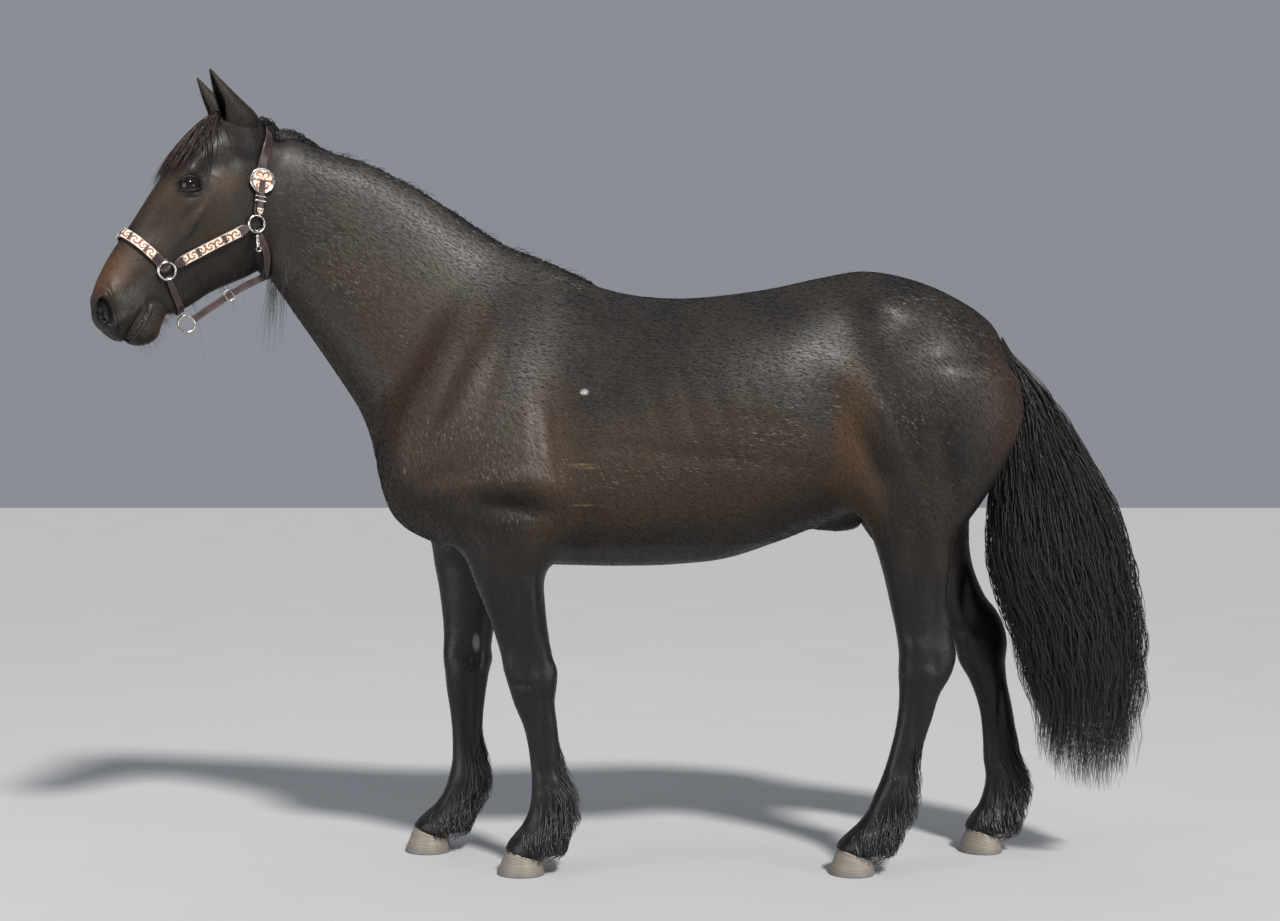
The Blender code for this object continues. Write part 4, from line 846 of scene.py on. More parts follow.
class Paint(Nodes):
    """One material: a Principled shader and the nodes that feed it."""

    def __init__(self, name, **constants):
        self.material = bpy.data.materials.new(name)
        self.material.use_nodes = True
        super().__init__(self.material.node_tree)
        self.shader = self.tree.nodes["Principled BSDF"]
        for socket, value in constants.items():
            self.shader.inputs[socket.replace("_", " ").title().replace("Ior", "IOR")].default_value = value
        self.place = self.node("ShaderNodeTexCoord").outputs["Object"]

    def noise(self, scale, detail=3.0, stretch=(1, 1, 1), place=None):
        place = self.vector("MULTIPLY", place or self.place, stretch)
        inputs = {"Vector": place, "Scale": scale, "Detail": detail, "Roughness": 0.6}
        return self.value("ShaderNodeTexNoise", "Fac", None, inputs)

    def spot(self, centre, radii, soft=0.6, place=None):
        """1 inside an oval about a point, easing to 0 at its edge."""
        away = self.vector("SUBTRACT", place or self.place, tuple(centre))
        away = self.vector("DIVIDE", away, tuple(radii))
        length = self.value("ShaderNodeVectorMath", "Value", {"operation": "LENGTH"}, {0: away})
        return length.step(1.0 + soft / 2, 1.0 - soft / 2)

    def mix(self, first, second, factor):
        inputs = {"Factor": factor, "A": first, "B": second}
        return in_use(self.node("ShaderNodeMix", {"data_type": "RGBA"}, inputs).outputs, "Result")

    def feed(self, socket, value):
        value = value.socket if isinstance(value, Value) else value
        self.tree.links.new(value, self.shader.inputs[socket])

    def bump(self, height, distance, strength=1.0):
        inputs = {"Height": height, "Distance": distance, "Strength": strength}
        self.feed("Normal", self.node("ShaderNodeBump", inputs=inputs).outputs["Normal"])

    def wandering(self, place, scale, amount):
        """Places that are pushed about, so that a pattern's edges are uneven."""
        push = self.node("ShaderNodeTexNoise", inputs={"Vector": place, "Scale": scale}).outputs["Color"]
        push = self.vector("SUBTRACT", push, (0.5, 0.5, 0.5))
        return self.vector("ADD", place, self.vector("MULTIPLY", push, (amount, amount, amount)))


def at_home(point):
    """A point of the stations' frame, in the model's."""
    return tuple(np.array(point) + HOME)


# The coat's colours, with painted shade in the crease over the elbow and the hollow over the eye. Each patch:
# colour, middle in the stations' frame, radii, softness, strength. Patches lie on both sides.
COAT_BASE, COAT_DEEP = (0.019, 0.0125, 0.0084), (0.0052, 0.0046, 0.0047)
COAT_AND_SHADE_PATCHES = [
    ((0.033, 0.0195, 0.011), (-0.66, 0.2, 1.16), (0.2, 0.22, 0.34), 1.2, 0.8),  # shoulder
    ((0.029, 0.018, 0.0105), (-0.86, 0.1, 1.4), (0.2, 0.2, 0.3), 1.2, 0.6),  # lower neck
    ((0.043, 0.024, 0.0112), (-0.365, 0.25, 1.0), (0.075, 0.2, 0.18), 1.2, 0.8),  # behind the elbow
    ((0.006, 0.0048, 0.0046), (-0.47, 0.25, 0.895), (0.1, 0.2, 0.045), 1.2, 0.75),  # painted shade in the crease over the elbow
    ((0.037, 0.0222, 0.0118), (0.0, 0.28, 0.97), (0.42, 0.2, 0.16), 1.2, 0.8),  # low side of the barrel
    ((0.064, 0.033, 0.0112), (0.375, 0.22, 1.06), (0.048, 0.2, 0.16), 1.5, 0.75),  # fold of the flank
    ((0.05, 0.0262, 0.0105), (0.415, 0.2, 0.87), (0.038, 0.16, 0.12), 1.4, 0.7),  # front of the stifle
    ((0.036, 0.019, 0.011), (0.76, 0.16, 1.14), (0.07, 0.2, 0.2), 1.4, 0.7),  # back of the haunch
    ((0.022, 0.0145, 0.0105), (-1.235, 0.05, 1.975), (0.07, 0.16, 0.08), 1.0, 0.9),  # ears
]
FACE_PATCHES = [
    ((0.08, 0.036, 0.015), (0.57, 0.105, 0.0), (0.09, 0.042, 0.1), 1.3, 0.85),  # lower nose
    ((0.04, 0.033, 0.027), (0.59, 0.005, 0.0), (0.055, 0.045, 0.12), 1.3, 0.75),  # side of the muzzle
    ((0.055, 0.028, 0.013), (0.59, -0.078, 0.0), (0.035, 0.022, 0.08), 1.2, 0.75),  # chin
    ((0.04, 0.024, 0.014), (0.4, 0.075, 0.0), (0.13, 0.05, 0.12), 1.4, 0.75),  # cheek by the nose
    ((0.075, 0.042, 0.018), (0.222, 0.018, 0.0), (0.038, 0.032, 0.2), 1.3, 0.8),  # behind the eye
    ((0.05, 0.029, 0.014), (0.3, 0.105, 0.0), (0.04, 0.026, 0.12), 1.3, 0.7),  # before the eye
    ((0.034, 0.022, 0.014), (0.3, 0.01, 0.0), (0.12, 0.09, 0.2), 1.4, 0.6),  # cheek
    ((0.008, 0.0065, 0.006), (0.165, 0.03, 0.0), (0.026, 0.022, 0.2), 1.0, 0.7),  # painted shade in the hollow over the eye
    ((0.006, 0.005, 0.005), (0.268, 0.07, 0.0), (0.036, 0.03, 0.2), 0.8, 0.9),  # lids
    ((0.008, 0.007, 0.007), (0.672, 0.04, 0.0), (0.03, 0.05, 0.1), 1.0, 0.8),  # between the nostrils
    ((0.01, 0.008, 0.007), (0.64, -0.034, 0.0), (0.085, 0.013, 0.12), 0.9, 0.8),  # lips
    ((0.011, 0.0055, 0.0055), (0.15, 0.135, 0.0), (0.095, 0.034, 0.075), 0.9, 0.9),  # under the forelock
]
# Painted shade inside the nostrils: near-black spots over their openings, in the head's own frame (middle,
# radii), and their colour
NOSTRIL_SHADE_SPOTS = [
    ((0.632, 0.066, 0.045), (0.015, 0.015, 0.035)), ((0.645, 0.05, 0.045), (0.015, 0.018, 0.035)),
]
NOSTRIL_SHADE = (0.0025, 0.0018, 0.0018)
# Small marks: colour, middle in the stations' frame, radii
MARKS = [
    ((0.78, 0.74, 0.68), (-0.288, -0.3, 1.182), (0.014, 0.09, 0.01)),  # a white hair patch on the barrel
    ((0.13, 0.08, 0.04), (-0.296, -0.3, 1.001), (0.024, 0.09, 0.0035)),  # scratches
    ((0.11, 0.07, 0.035), (-0.276, -0.3, 0.993), (0.022, 0.09, 0.003)),
    ((0.09, 0.065, 0.035), (-0.292, -0.3, 0.9), (0.03, 0.09, 0.003)),
    ((0.11, 0.09, 0.07), (-0.735, -0.25, 0.985), (0.003, 0.12, 0.009)),
    ((0.2, 0.18, 0.155), (-0.586, 0.1, 0.525), (0.01, 0.022, 0.024)),  # the bare horn inside each forearm
    ((0.2, 0.18, 0.155), (-0.44, -0.1, 0.525), (0.01, 0.022, 0.024)),
]


def face_place(paint, place, poll):
    """Places in the head's own frame, alike on both sides."""
    away = paint.vector("SUBTRACT", place, poll)
    down, forwards, sideways = (paint.axis(way, away) for way in HEAD)
    return paint.node("ShaderNodeCombineXYZ", inputs={0: down, 1: forwards, 2: sideways.size()}).outputs[0]


def coat_colour(paint):
    """The coat's markings, the same on the skin and on every tuft, with painted shade in the crease over the
    elbow, the hollow over the eye and the nostrils.
    """
    place = paint.vector("SUBTRACT", paint.wandering(paint.place, 5.0, 0.1), at_home((0, 0, 0)))
    level = paint.vector("MULTIPLY", place, (1, 0, 1))
    sided = paint.vector("ADD", level, paint.vector("MULTIPLY", paint.vector("ABSOLUTE", place), (0, 1, 0)))
    colour = paint.mix(COAT_DEEP, COAT_BASE, paint.noise(7.0).step(0.3, 0.66))
    for patch, centre, radii, soft, strength in COAT_AND_SHADE_PATCHES:
        colour = paint.mix(colour, patch, paint.spot(centre, radii, soft, sided) * strength)
    down = paint.axis((0, 0, 1), place)
    colour = paint.mix(colour, COAT_DEEP, down.step(0.86, 0.62) * 0.92)
    face = face_place(paint, place, POLL)
    for patch, centre, radii, soft, strength in FACE_PATCHES:
        colour = paint.mix(colour, patch, paint.spot(centre, radii, soft, face) * strength)
    exact = face_place(paint, paint.place, at_home(POLL))
    # painted shade over the nostrils' openings
    for centre, radii in NOSTRIL_SHADE_SPOTS:
        colour = paint.mix(colour, NOSTRIL_SHADE, paint.spot(centre, radii, 0.5, exact))
    for patch, centre, radii in MARKS:
        colour = paint.mix(colour, patch, paint.spot(at_home(centre), radii, 0.7) * 0.8)
    return colour


def coat_paint(name, hair_depth, tones=False):
    """The coat's colour with its fine grain, and pale specks of painted sheen, fewer on the legs. tones: each
    tuft has a shade of its own, darker at random or lighter as a painted glint.
    """
    paint = Paint(name, roughness=0.5, specular_ior_level=0.26, coat_roughness=0.3)
    colour = coat_colour(paint)
    grain = paint.noise(420.0, 2.0)
    mottle = paint.noise(38.0, 4.0)
    low = paint.axis((0, 0, 1), paint.place).step(0.95, 0.7)
    painted_glint = (1 - low * 0.8) * 0.3
    colour = paint.mix(colour, (0.0, 0.0, 0.0), (1 - grain.step(0.3, 0.62)) * 0.45)
    # Painted highlights: pale specks of sheen where the grain and the mottle are high
    colour = paint.mix(colour, (0.07, 0.06, 0.054), grain.step(0.58, 0.8) * mottle.step(0.4, 0.7) * painted_glint)
    if tones:
        tone = paint.value("ShaderNodeAttribute", "Fac", {"attribute_name": "tone"})
        colour = paint.mix(colour, (0.0, 0.0, 0.0), tone.step(0.5, 0.0) * 0.65)
        # Painted glints: the lightest tufts
        colour = paint.mix(colour, (0.08, 0.069, 0.062), tone.step(0.72, 1.0) * painted_glint * 0.8)
    paint.feed("Base Color", colour)
    high = paint.axis((0, 0, 1), paint.place).step(1.86, 1.94)
    paint.feed("Roughness", mottle * 0.16 + 0.4 - low * 0.12 + high * 0.14)
    paint.feed("Coat Weight", mottle * (1 - high) * 0.12 + low * 0.1)
    paint.bump(grain * 0.5 + mottle * 1.2, hair_depth, 0.5)
    return paint.material


skin.data.materials.append(coat_paint("coat_skin", 0.0022))
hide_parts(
    "head", "neck", "trunk", "ear_left", "ear_right", "foreleg_left", "foreleg_right", "hindleg_left",
    "hindleg_right",
)
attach(skin, "root")

# ---------- eyes
# Dark wet globes with a brown iris and a level oval pupil. Each lies in its socket, under both lids.
CORNEA_START, CORNEA_BULGE = 0.7, 0.055  # as parts of the radius
IRIS_RADIUS, PUPIL = 0.0165, (0.0095, 0.0048)


def eyeball(name, side):
    middle, look, corner, upper = eye_frame(side)
    across = np.cross(upper, look)
    turn = Matrix(np.array([across, upper, look]).T.tolist()).to_4x4()
    bm = bmesh.new()
    bmesh.ops.create_uvsphere(bm, u_segments=64, v_segments=48, radius=EYE_RADIUS * 0.995)
    for vert in bm.verts:
        front = max(0.0, vert.co.z / EYE_RADIUS - CORNEA_START) / (1 - CORNEA_START)
        vert.co *= 1 + CORNEA_BULGE * front**1.5
    bmesh.ops.transform(bm, matrix=Matrix.Translation(at_home(middle)) @ turn, verts=bm.verts)
    obj = new_object(name + "_globe", mesh_from(bm, name))

    paint = Paint(name + "_paint", roughness=0.04, specular_ior_level=0.3)
    away = paint.vector("SUBTRACT", paint.place, at_home(middle))
    along, up = paint.axis(corner, away), paint.axis(upper, away)
    reach = (along * along + up * up) ** 0.5
    pupil = ((along / PUPIL[0]) ** 2 + (up / PUPIL[1]) ** 2).step(1.15, 0.85)
    fibres = paint.noise(60.0, 4.0, place=paint.vector("NORMALIZE", away))
    iris = paint.mix((0.004, 0.0025, 0.002), (0.011, 0.0055, 0.0035), fibres.step(0.35, 0.65))
    white = paint.mix((0.005, 0.004, 0.0035), (0.022, 0.016, 0.013), paint.noise(90.0).step(0.5, 0.8))
    colour = paint.mix(iris, white, reach.step(IRIS_RADIUS, IRIS_RADIUS + 0.003))
    colour = paint.mix(colour, (0.004, 0.004, 0.005), pupil)
    paint.feed("Base Color", colour)
    paint.feed("Roughness", paint.noise(200.0) * 0.03 + 0.02)
    obj.data.materials.append(paint.material)
    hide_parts(name)
    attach(obj, "root")


for name, side in EYES.items():
    eyeball(name, side)

# ---------- coat
# Short flat hair in thin tapering tufts, each one a closed sliver that is rooted in the hide and lies the
# way a horse's coat lies: back along the body, down the legs, and down the face. Shorter on the face.
NECK_LINE = [(-1.1, 1.66), (-0.62, 1.22), (0.1, 1.16), (0.9, 1.15)]  # the middle of neck and trunk: x, z
LIMB_X = {"foreleg_left": -0.43, "foreleg_right": -0.66, "hindleg_left": 0.5, "hindleg_right": 0.8}
# Lie of the coat: direction, a place it belongs to in the stations' frame, and how far it reaches
BACKWARDS, DOWNWARDS = np.array((1.0, 0.0, -0.22)), np.array((0.12, 0.0, -1.0))
COAT_LIES = [
    (DOWNWARDS, (-0.62, 0.0, 0.95), (0.26, 9.0, 0.26)), (DOWNWARDS, (-0.45, 0.0, 0.4), (0.6, 9.0, 0.52)),
    (DOWNWARDS, (0.62, 0.0, 0.45), (0.6, 9.0, 0.55)),
    (np.array((0.75, 0.0, -0.85)), (0.66, 0.0, 1.1), (0.26, 9.0, 0.3)),
    (np.array((0.85, 0.0, -0.7)), (-0.85, 0.0, 1.45), (0.32, 9.0, 0.35)),
    (np.array((-0.3, 0.0, -0.9)), (0.42, 0.0, 0.98), (0.08, 9.0, 0.16)),  # whorl of the flank
]
LEG_TOP = 0.8
# Each piece of the coat: from and to which x, above the legs' top or below it, tufts, their length
COAT_PIECES = {
    "coat_head": (None, None, True, 34000, 0.0062),
    "coat_neck": (-9, -0.72, True, 30000, 0.011),
    "coat_forehand": (-0.72, -0.25, True, 31000, 0.0118),
    "coat_barrel": (-0.25, 0.36, True, 32500, 0.0118),
    "coat_haunches": (0.36, 9, True, 32500, 0.0118),
    "coat_forelegs": (-9, 0.0, False, 26000, 0.007),
    "coat_hindlegs": (0.0, 9, False, 26000, 0.007),
}


def on_the_head(points):
    local = head_local(points)
    return (local[:, 0] > -0.06) & (local[:, 1] > -0.26) & (points[:, 0] < -1.02) & (points[:, 2] > 1.25)


def lie_of_coat(points):
    """Which way the hair lies at points of the hide."""
    lie = np.tile(BACKWARDS, (len(points), 1))
    for way, centre, reach in COAT_LIES:
        away = np.linalg.norm((points - np.array(centre)) / reach, axis=1)
        share = np.clip(1.4 - away, 0, 1)[:, None]
        lie = lie * (1 - share) + way * share
    local = head_local(points)
    cheek = np.clip((0.03 - local[:, 1]) / 0.12, 0, 1) * np.clip(1.6 - local[:, 0] / 0.3, 0, 1)
    cheek = cheek[:, None]
    on_face = HEAD[0] * (1 - cheek) + (HEAD[0] * 0.35 - HEAD[1]) * cheek
    share = on_the_head(points)[:, None] * np.clip(local[:, 0] / 0.1 + 0.5, 0, 1)[:, None]
    return lie * (1 - share) + on_face * share


def chart(points):
    """Places on a flat chart of the hide: turned about the spine, the head's axis, or a limb's."""
    spots = np.empty((len(points), 2))
    x, y, z = points.T
    spots[:, 0] = 0.02 + 0.6 * (x + 1.3) / 2.5
    spine = np.interp(x, *zip(*NECK_LINE))
    spots[:, 1] = 0.5 + 0.46 * (np.arctan2(y, z - spine) / (2 * np.pi) + 0.5)
    head = on_the_head(points)
    local = (points[head] - np.array(POLL)) @ HEAD.T
    spots[head, 0] = 0.66 + 0.3 * np.clip((local[:, 0] + 0.1) / 0.8, 0, 1)
    spots[head, 1] = 0.02 + 0.44 * (np.arctan2(local[:, 2], local[:, 1]) / (2 * np.pi) + 0.5)
    for i, middle in enumerate(LIMB_X.values()):
        side = -1 if i % 2 == 0 else 1
        limb = (z < 0.72) & ((x < 0) == (i < 2)) & (y * side > 0) & ~head
        spots[limb, 0] = 0.02 + 0.15 * i + 0.13 * (
            np.arctan2(y[limb] - side * 0.145, x[limb] - middle) / (2 * np.pi) + 0.5
        )
        spots[limb, 1] = 0.02 + 0.44 * np.clip(z[limb] + 0.04, 0, 0.76) / 0.76
    return spots


def put_attribute(mesh, name, kind, values, field="value"):
    attribute = mesh.attributes.new(name, kind, "POINT")
    attribute.data.foreach_set(field, np.ascontiguousarray(values, np.float32).ravel())


def put_roots(mesh, points):
    spots = chart(points)
    put_attribute(mesh, "root", "FLOAT_VECTOR", np.column_stack([spots, np.zeros(len(spots))]), "vector")


def geometry_nodes(name, **numbers):
    """An empty geometry tree with its named number inputs, and the node that holds them."""
    tree = bpy.data.node_groups.new(name, "GeometryNodeTree")
    tree.interface.new_socket("Geometry", in_out="INPUT", socket_type="NodeSocketGeometry")
    for key, kind in numbers.items():
        tree.interface.new_socket(key, in_out="INPUT", socket_type=kind)
    tree.interface.new_socket("Geometry", in_out="OUTPUT", socket_type="NodeSocketGeometry")
    nodes = Nodes(tree)
    return nodes, nodes.node("NodeGroupInput").outputs


def attribute(nodes, name, kind="FLOAT_VECTOR"):
    node = nodes.node("GeometryNodeInputNamedAttribute", {"data_type": kind}, {"Name": name})
    return in_use(node.outputs, "Attribute")


def stored(nodes, geometry, name, value, kind="FLOAT", domain="POINT"):
    settings = {"data_type": kind, "domain": domain}
    return nodes.grow("StoreNamedAttribute", settings, Geometry=geometry, Name=name, Value=value)


def finish_tree(nodes, geometry, patch, material):
    """Make the copies real, give each a small patch of the chart at its root, and set the material."""
    real = nodes.grow("RealizeInstances", Geometry=geometry)
    spot = nodes.vector("ADD", attribute(nodes, "root"), nodes.vector("MULTIPLY", patch, (0.003, 0.003, 0.0)))
    charted = stored(nodes, real, "OFBake", spot, "FLOAT2", "CORNER")
    done = nodes.grow("SetMaterial", Geometry=charted, Material=material)
    nodes.node("NodeGroupOutput", inputs={"Geometry": done})


def grown_from(obj, nodes, **numbers):
    """The object that a geometry tree makes of this one, with the tree's named inputs set."""
    modifier = obj.modifiers.new("grow", "NODES")
    modifier.node_group = nodes.tree
    for item in nodes.tree.interface.items_tree:
        if item.name in numbers:
            modifier[item.identifier] = numbers[item.name]
    obj = settled(obj)
    for name in ("root", "lie", "patch", "along", "around", "width"):
        if name in obj.data.attributes:
            obj.data.attributes.remove(obj.data.attributes[name])
    return obj


def at_random(nodes, seed, low, high, kind):
    inputs = {"Min": low, "Max": high, "Seed": seed}
    return nodes.value("FunctionNodeRandomValue", "Value", {"data_type": kind}, inputs)


def tuft_nodes(material):
    """Scatters tufts over a piece of hide."""
    sockets = {"Density": "NodeSocketFloat", "Length": "NodeSocketFloat", "Seed": "NodeSocketInt"}
    nodes, given = geometry_nodes("tufts", **sockets)
    inputs = {"Mesh": given["Geometry"], "Density": given["Density"], "Seed": given["Seed"]}
    settings = {"distribute_method": "RANDOM"}
    scattered = nodes.node("GeometryNodeDistributePointsOnFaces", settings, inputs).outputs
    inputs = {"Primary Axis": scattered["Normal"], "Secondary Axis": attribute(nodes, "lie")}
    settings = {"primary_axis": "Z", "secondary_axis": "X"}
    flat = nodes.node("FunctionNodeAxesToRotation", settings, inputs).outputs[0]
    astray = at_random(nodes, 3, (-0.5, -0.16, -0.26), (0.5, -0.03, 0.26), "FLOAT_VECTOR")
    inputs = {"Rotation": flat, "Rotate By": astray}
    turned = nodes.node("FunctionNodeRotateRotation", {"rotation_space": "LOCAL"}, inputs).outputs[0]
    size = at_random(nodes, 4, (0.65, 0.09, 0.045), (1.3, 0.17, 0.07), "FLOAT_VECTOR").socket
    inputs = {"Vector": size, "Scale": given["Length"]}
    size = nodes.node("ShaderNodeVectorMath", {"operation": "SCALE"}, inputs)

    cone = nodes.grow("MeshCone", Vertices=3, Radius_Top=0.0, Radius_Bottom=0.58, Depth=1.0)
    sliver = nodes.grow("Transform", Geometry=cone, Rotation=(0.0, math.pi / 2, 0.0))
    sliver = stored(nodes, sliver, "patch", nodes.grow("InputPosition"), "FLOAT_VECTOR")
    points = stored(nodes, scattered["Points"], "tone", at_random(nodes, 5, 0.0, 1.0, "FLOAT"))
    size = size.outputs[0]
    tufts = nodes.grow("InstanceOnPoints", Points=points, Instance=sliver, Rotation=turned, Scale=size)
    finish_tree(nodes, tufts, attribute(nodes, "patch"), material)
    return nodes


def on_piece(p, start, end, upper):
    """Which points are on a piece of the coat. The head's piece leaves out the insides of the nostrils."""
    head = on_the_head(p)
    if start is None:
        return head & (nostril(head_local(p)) < 0.005)
    return ~head & (p[:, 0] >= start) & (p[:, 0] < end) & ((p[:, 2] > LEG_TOP) == upper)


def piece_of_hide(name, *where):
    """A piece of the skin, with the lie of its coat."""
    faces = [face.vertices[:] for face in skin.data.polygons]
    middles = np.array([skin_points[list(face)].mean(axis=0) for face in faces])
    kept = [faces[i] for i in np.flatnonzero(on_piece(middles, *where))]
    used = sorted({i for face in kept for i in face})
    number = {old: new for new, old in enumerate(used)}
    mesh = bpy.data.meshes.new(name)
    points = skin_points[used]
    mesh.from_pydata((points + HOME).tolist(), [], [[number[i] for i in face] for face in kept])
    put_attribute(mesh, "lie", "FLOAT_VECTOR", lie_of_coat(points), "vector")
    put_roots(mesh, points)
    return new_object(name, mesh)


coat_tufts = tuft_nodes(coat_paint("coat_hair", 0.001, tones=True))
for name, (*where, count, length) in COAT_PIECES.items():
    hide_piece = piece_of_hide(name, *where)
    area = sum(face.area for face in hide_piece.data.polygons)
    piece = grown_from(hide_piece, coat_tufts, Density=count / area, Length=length, Seed=len(name))
    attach(piece, "root")

# ---------- hooves
# A slanted wall of pale horn with growth rings, lower at the heels and parted there by a shallow cleft.
HOOVES = ("hoof_fore_left", "hoof_fore_right", "hoof_hind_left", "hoof_hind_right")
TOE_HEIGHT, HEEL_HEIGHT = 0.068, 0.034
GROWTH_RINGS, RING_DEPTH = 9, 0.0006


def hoof_wall(name):
    low, high = np.array(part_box(name))
    middle = (low + high) / 2
    bm = bmesh.new()
    rings = []
    for rise in np.linspace(0, 1, 37):
        turn = turns(72)
        forward = -np.cos(turn)
        growth = RING_DEPTH * math.sin(rise * GROWTH_RINGS * 2 * math.pi) * (0.4 + 0.6 * rise)
        foot = -0.0015 * max(0.0, 1 - rise / 0.05)
        front, back = low[0] + 0.026 * rise - growth - foot, high[0] - 0.008 * rise + growth * 0.5 + foot
        half = (high[1] - low[1]) / 2 - 0.01 * rise + growth + foot
        cleft = 0.006 * np.exp(-(((turn - np.pi) / 0.2) ** 2)) * rise
        reach = np.where(forward < 0, forward, forward * (1 - 0.12 * forward))
        x = (front + back) / 2 + reach * (back - front) / 2 - cleft
        height = TOE_HEIGHT + (HEEL_HEIGHT - TOE_HEIGHT) * (x - front) / (back - front)
        rings.append(np.column_stack([x, middle[1] + half * np.sin(turn), low[2] + height * rise]))
    add_rings(bm, rings)
    return new_object(name + "_wall", mesh_from(bm, name))


horn = Paint("horn", roughness=0.45)
across_rings = horn.noise(1.0, 4.0, (10, 10, 260))
streaks = horn.noise(1.0, 5.0, (150, 150, 9))
horn_colour = horn.mix((0.155, 0.135, 0.115), (0.205, 0.175, 0.142), across_rings.step(0.3, 0.7))
horn_colour = horn.mix(horn_colour, (0.095, 0.086, 0.08), streaks.step(0.5, 0.78) * 0.5)
above_ground = horn.axis((0, 0, 1), horn.place)
horn_colour = horn.mix(horn_colour, (0.105, 0.1, 0.096), above_ground.step(0.03, 0.002) * 0.8)
horn.feed("Base Color", horn_colour)
horn.feed("Roughness", streaks * 0.25 + 0.35)
horn.bump(across_rings + streaks * 0.2, 0.0005, 0.5)
for name in HOOVES:
    wall = hoof_wall(name)
    wall.data.materials.append(horn.material)
    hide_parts(name)
    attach(wall, "root")

# ---------- tail
# Long black hair, a little wavy, in locks that hang from the dock and fray at their ends.
# z, back edge, front edge, half-width, -, skew
TAIL_ROWS = [
    (1.345, 0.835, 0.785, 0.022, 0, 0), (1.27, 0.885, 0.8, 0.036, 0, 0), (1.18, 0.93, 0.79, 0.05, 0, 0),
    (1.06, 1.0, 0.775, 0.066, 0, 0), (0.9, 1.09, 0.765, 0.082, 0, 0), (0.75, 1.138, 0.757, 0.092, 0, 0),
    (0.6, 1.165, 0.802, 0.094, 0, 0), (0.45, 1.176, 0.846, 0.088, 0, 0), (0.33, 1.165, 0.88, 0.074, 0, 0),
]
TAIL_PIECES = {"tail_near": 11, "tail_far": 12}
TAIL_LOCKS, TAIL_CLUMPS, TAIL_STEPS = 1220, 130, 26
TAIL_ENDS = (0.85, 0.9, 0.95, 1.02, 1.08, 1.13, 1.17), (0.31, 0.22, 0.175, 0.145, 0.165, 0.22, 0.33)  # x, z
DOCK_TOP, DOCK_END = (0.785, 1.335), (0.85, 1.13)  # x, z


def lock_nodes(material):
    """Turns guide lines, with a width at each point, into closed tapering locks."""
    nodes, given = geometry_nodes("locks", Width="NodeSocketFloat")
    curve = nodes.grow("MeshToCurve", Mesh=given["Geometry"])
    outline = nodes.grow("CurvePrimitiveCircle", Resolution=3, Radius=0.5)
    outline = nodes.grow("Transform", Geometry=outline, Scale=(1.0, 0.55, 1.0))
    outline = stored(nodes, outline, "around", nodes.grow("SplineParameter"))
    width = Value(nodes, attribute(nodes, "width", "FLOAT")) * Value(nodes, given["Width"])
    locks = nodes.grow("CurveToMesh", Curve=curve, Profile_Curve=outline, Scale=width, Fill_Caps=True)
    locks = nodes.grow("SetShadeSmooth", Geometry=locks)
    inputs = {"X": attribute(nodes, "along", "FLOAT"), "Y": attribute(nodes, "around", "FLOAT")}
    finish_tree(nodes, locks, nodes.node("ShaderNodeCombineXYZ", inputs=inputs).outputs[0], material)
    return nodes


def locks(name, lines, widths, nodes, slot="long_hair"):
    """lines: locks x points x 3, in the stations' frame; widths: one row for all of them, or one each."""
    count, steps = lines.shape[:2]
    first = np.arange(count * steps).reshape(count, steps)[:, :-1].ravel()
    mesh = bpy.data.meshes.new(name)
    edges = np.stack([first, first + 1], axis=1)
    mesh.from_pydata((lines.reshape(-1, 3) + HOME).tolist(), edges.tolist(), [])
    put_attribute(mesh, "width", "FLOAT", np.broadcast_to(widths, (count, steps)))
    tone = np.random.default_rng(count).uniform(0, 1, (count, 1))
    put_attribute(mesh, "tone", "FLOAT", np.broadcast_to(tone, (count, steps)))
    put_attribute(mesh, "along", "FLOAT", np.broadcast_to(np.linspace(0, 1, steps), (count, steps)))
    put_roots(mesh, np.repeat(lines[:, 0], steps, axis=0))
    piece = grown_from(new_object(name, mesh), nodes, Width=1.0)
    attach(piece, "root")
    return piece


def eased_step(t):
    t = np.clip(t, 0, 1)
    return t * t * (3 - 2 * t)


def about_loft(loft, place, turn, scale=1.0):
    """Points about a loft's sections: turn 0 is the section's first end."""
    _, middle, reach, half, side, skew = loft.section(place)
    t = np.cos(turn) * scale
    sideways = side + half * np.sin(turn) * scale * (1 + skew * t)
    return loft.origin + np.stack([place, middle + reach * t, sideways], axis=-1) @ loft.axes


def hair_paint(name, colour, glint, roughness=0.34, stretch=(60, 60, 4), gloss=0.6):
    paint = Paint(name, roughness=roughness, specular_ior_level=gloss, sheen_weight=0.05)
    strand = paint.noise(9.0, 3.0, stretch)
    tone = paint.value("ShaderNodeAttribute", "Fac", {"attribute_name": "tone"})
    shade = paint.mix(colour, (0.001, 0.001, 0.001), tone.step(0.6, 0.0) * 0.7)
    # Painted highlights: streaks along the strands and the lightest locks take the glint colour
    bright = strand.step(0.45, 0.75) * 0.5 + tone.step(0.7, 1.0) * 0.5
    paint.feed("Base Color", paint.mix(shade, glint, bright))
    paint.feed("Roughness", strand * 0.25 + roughness - 0.1)
    return paint.material


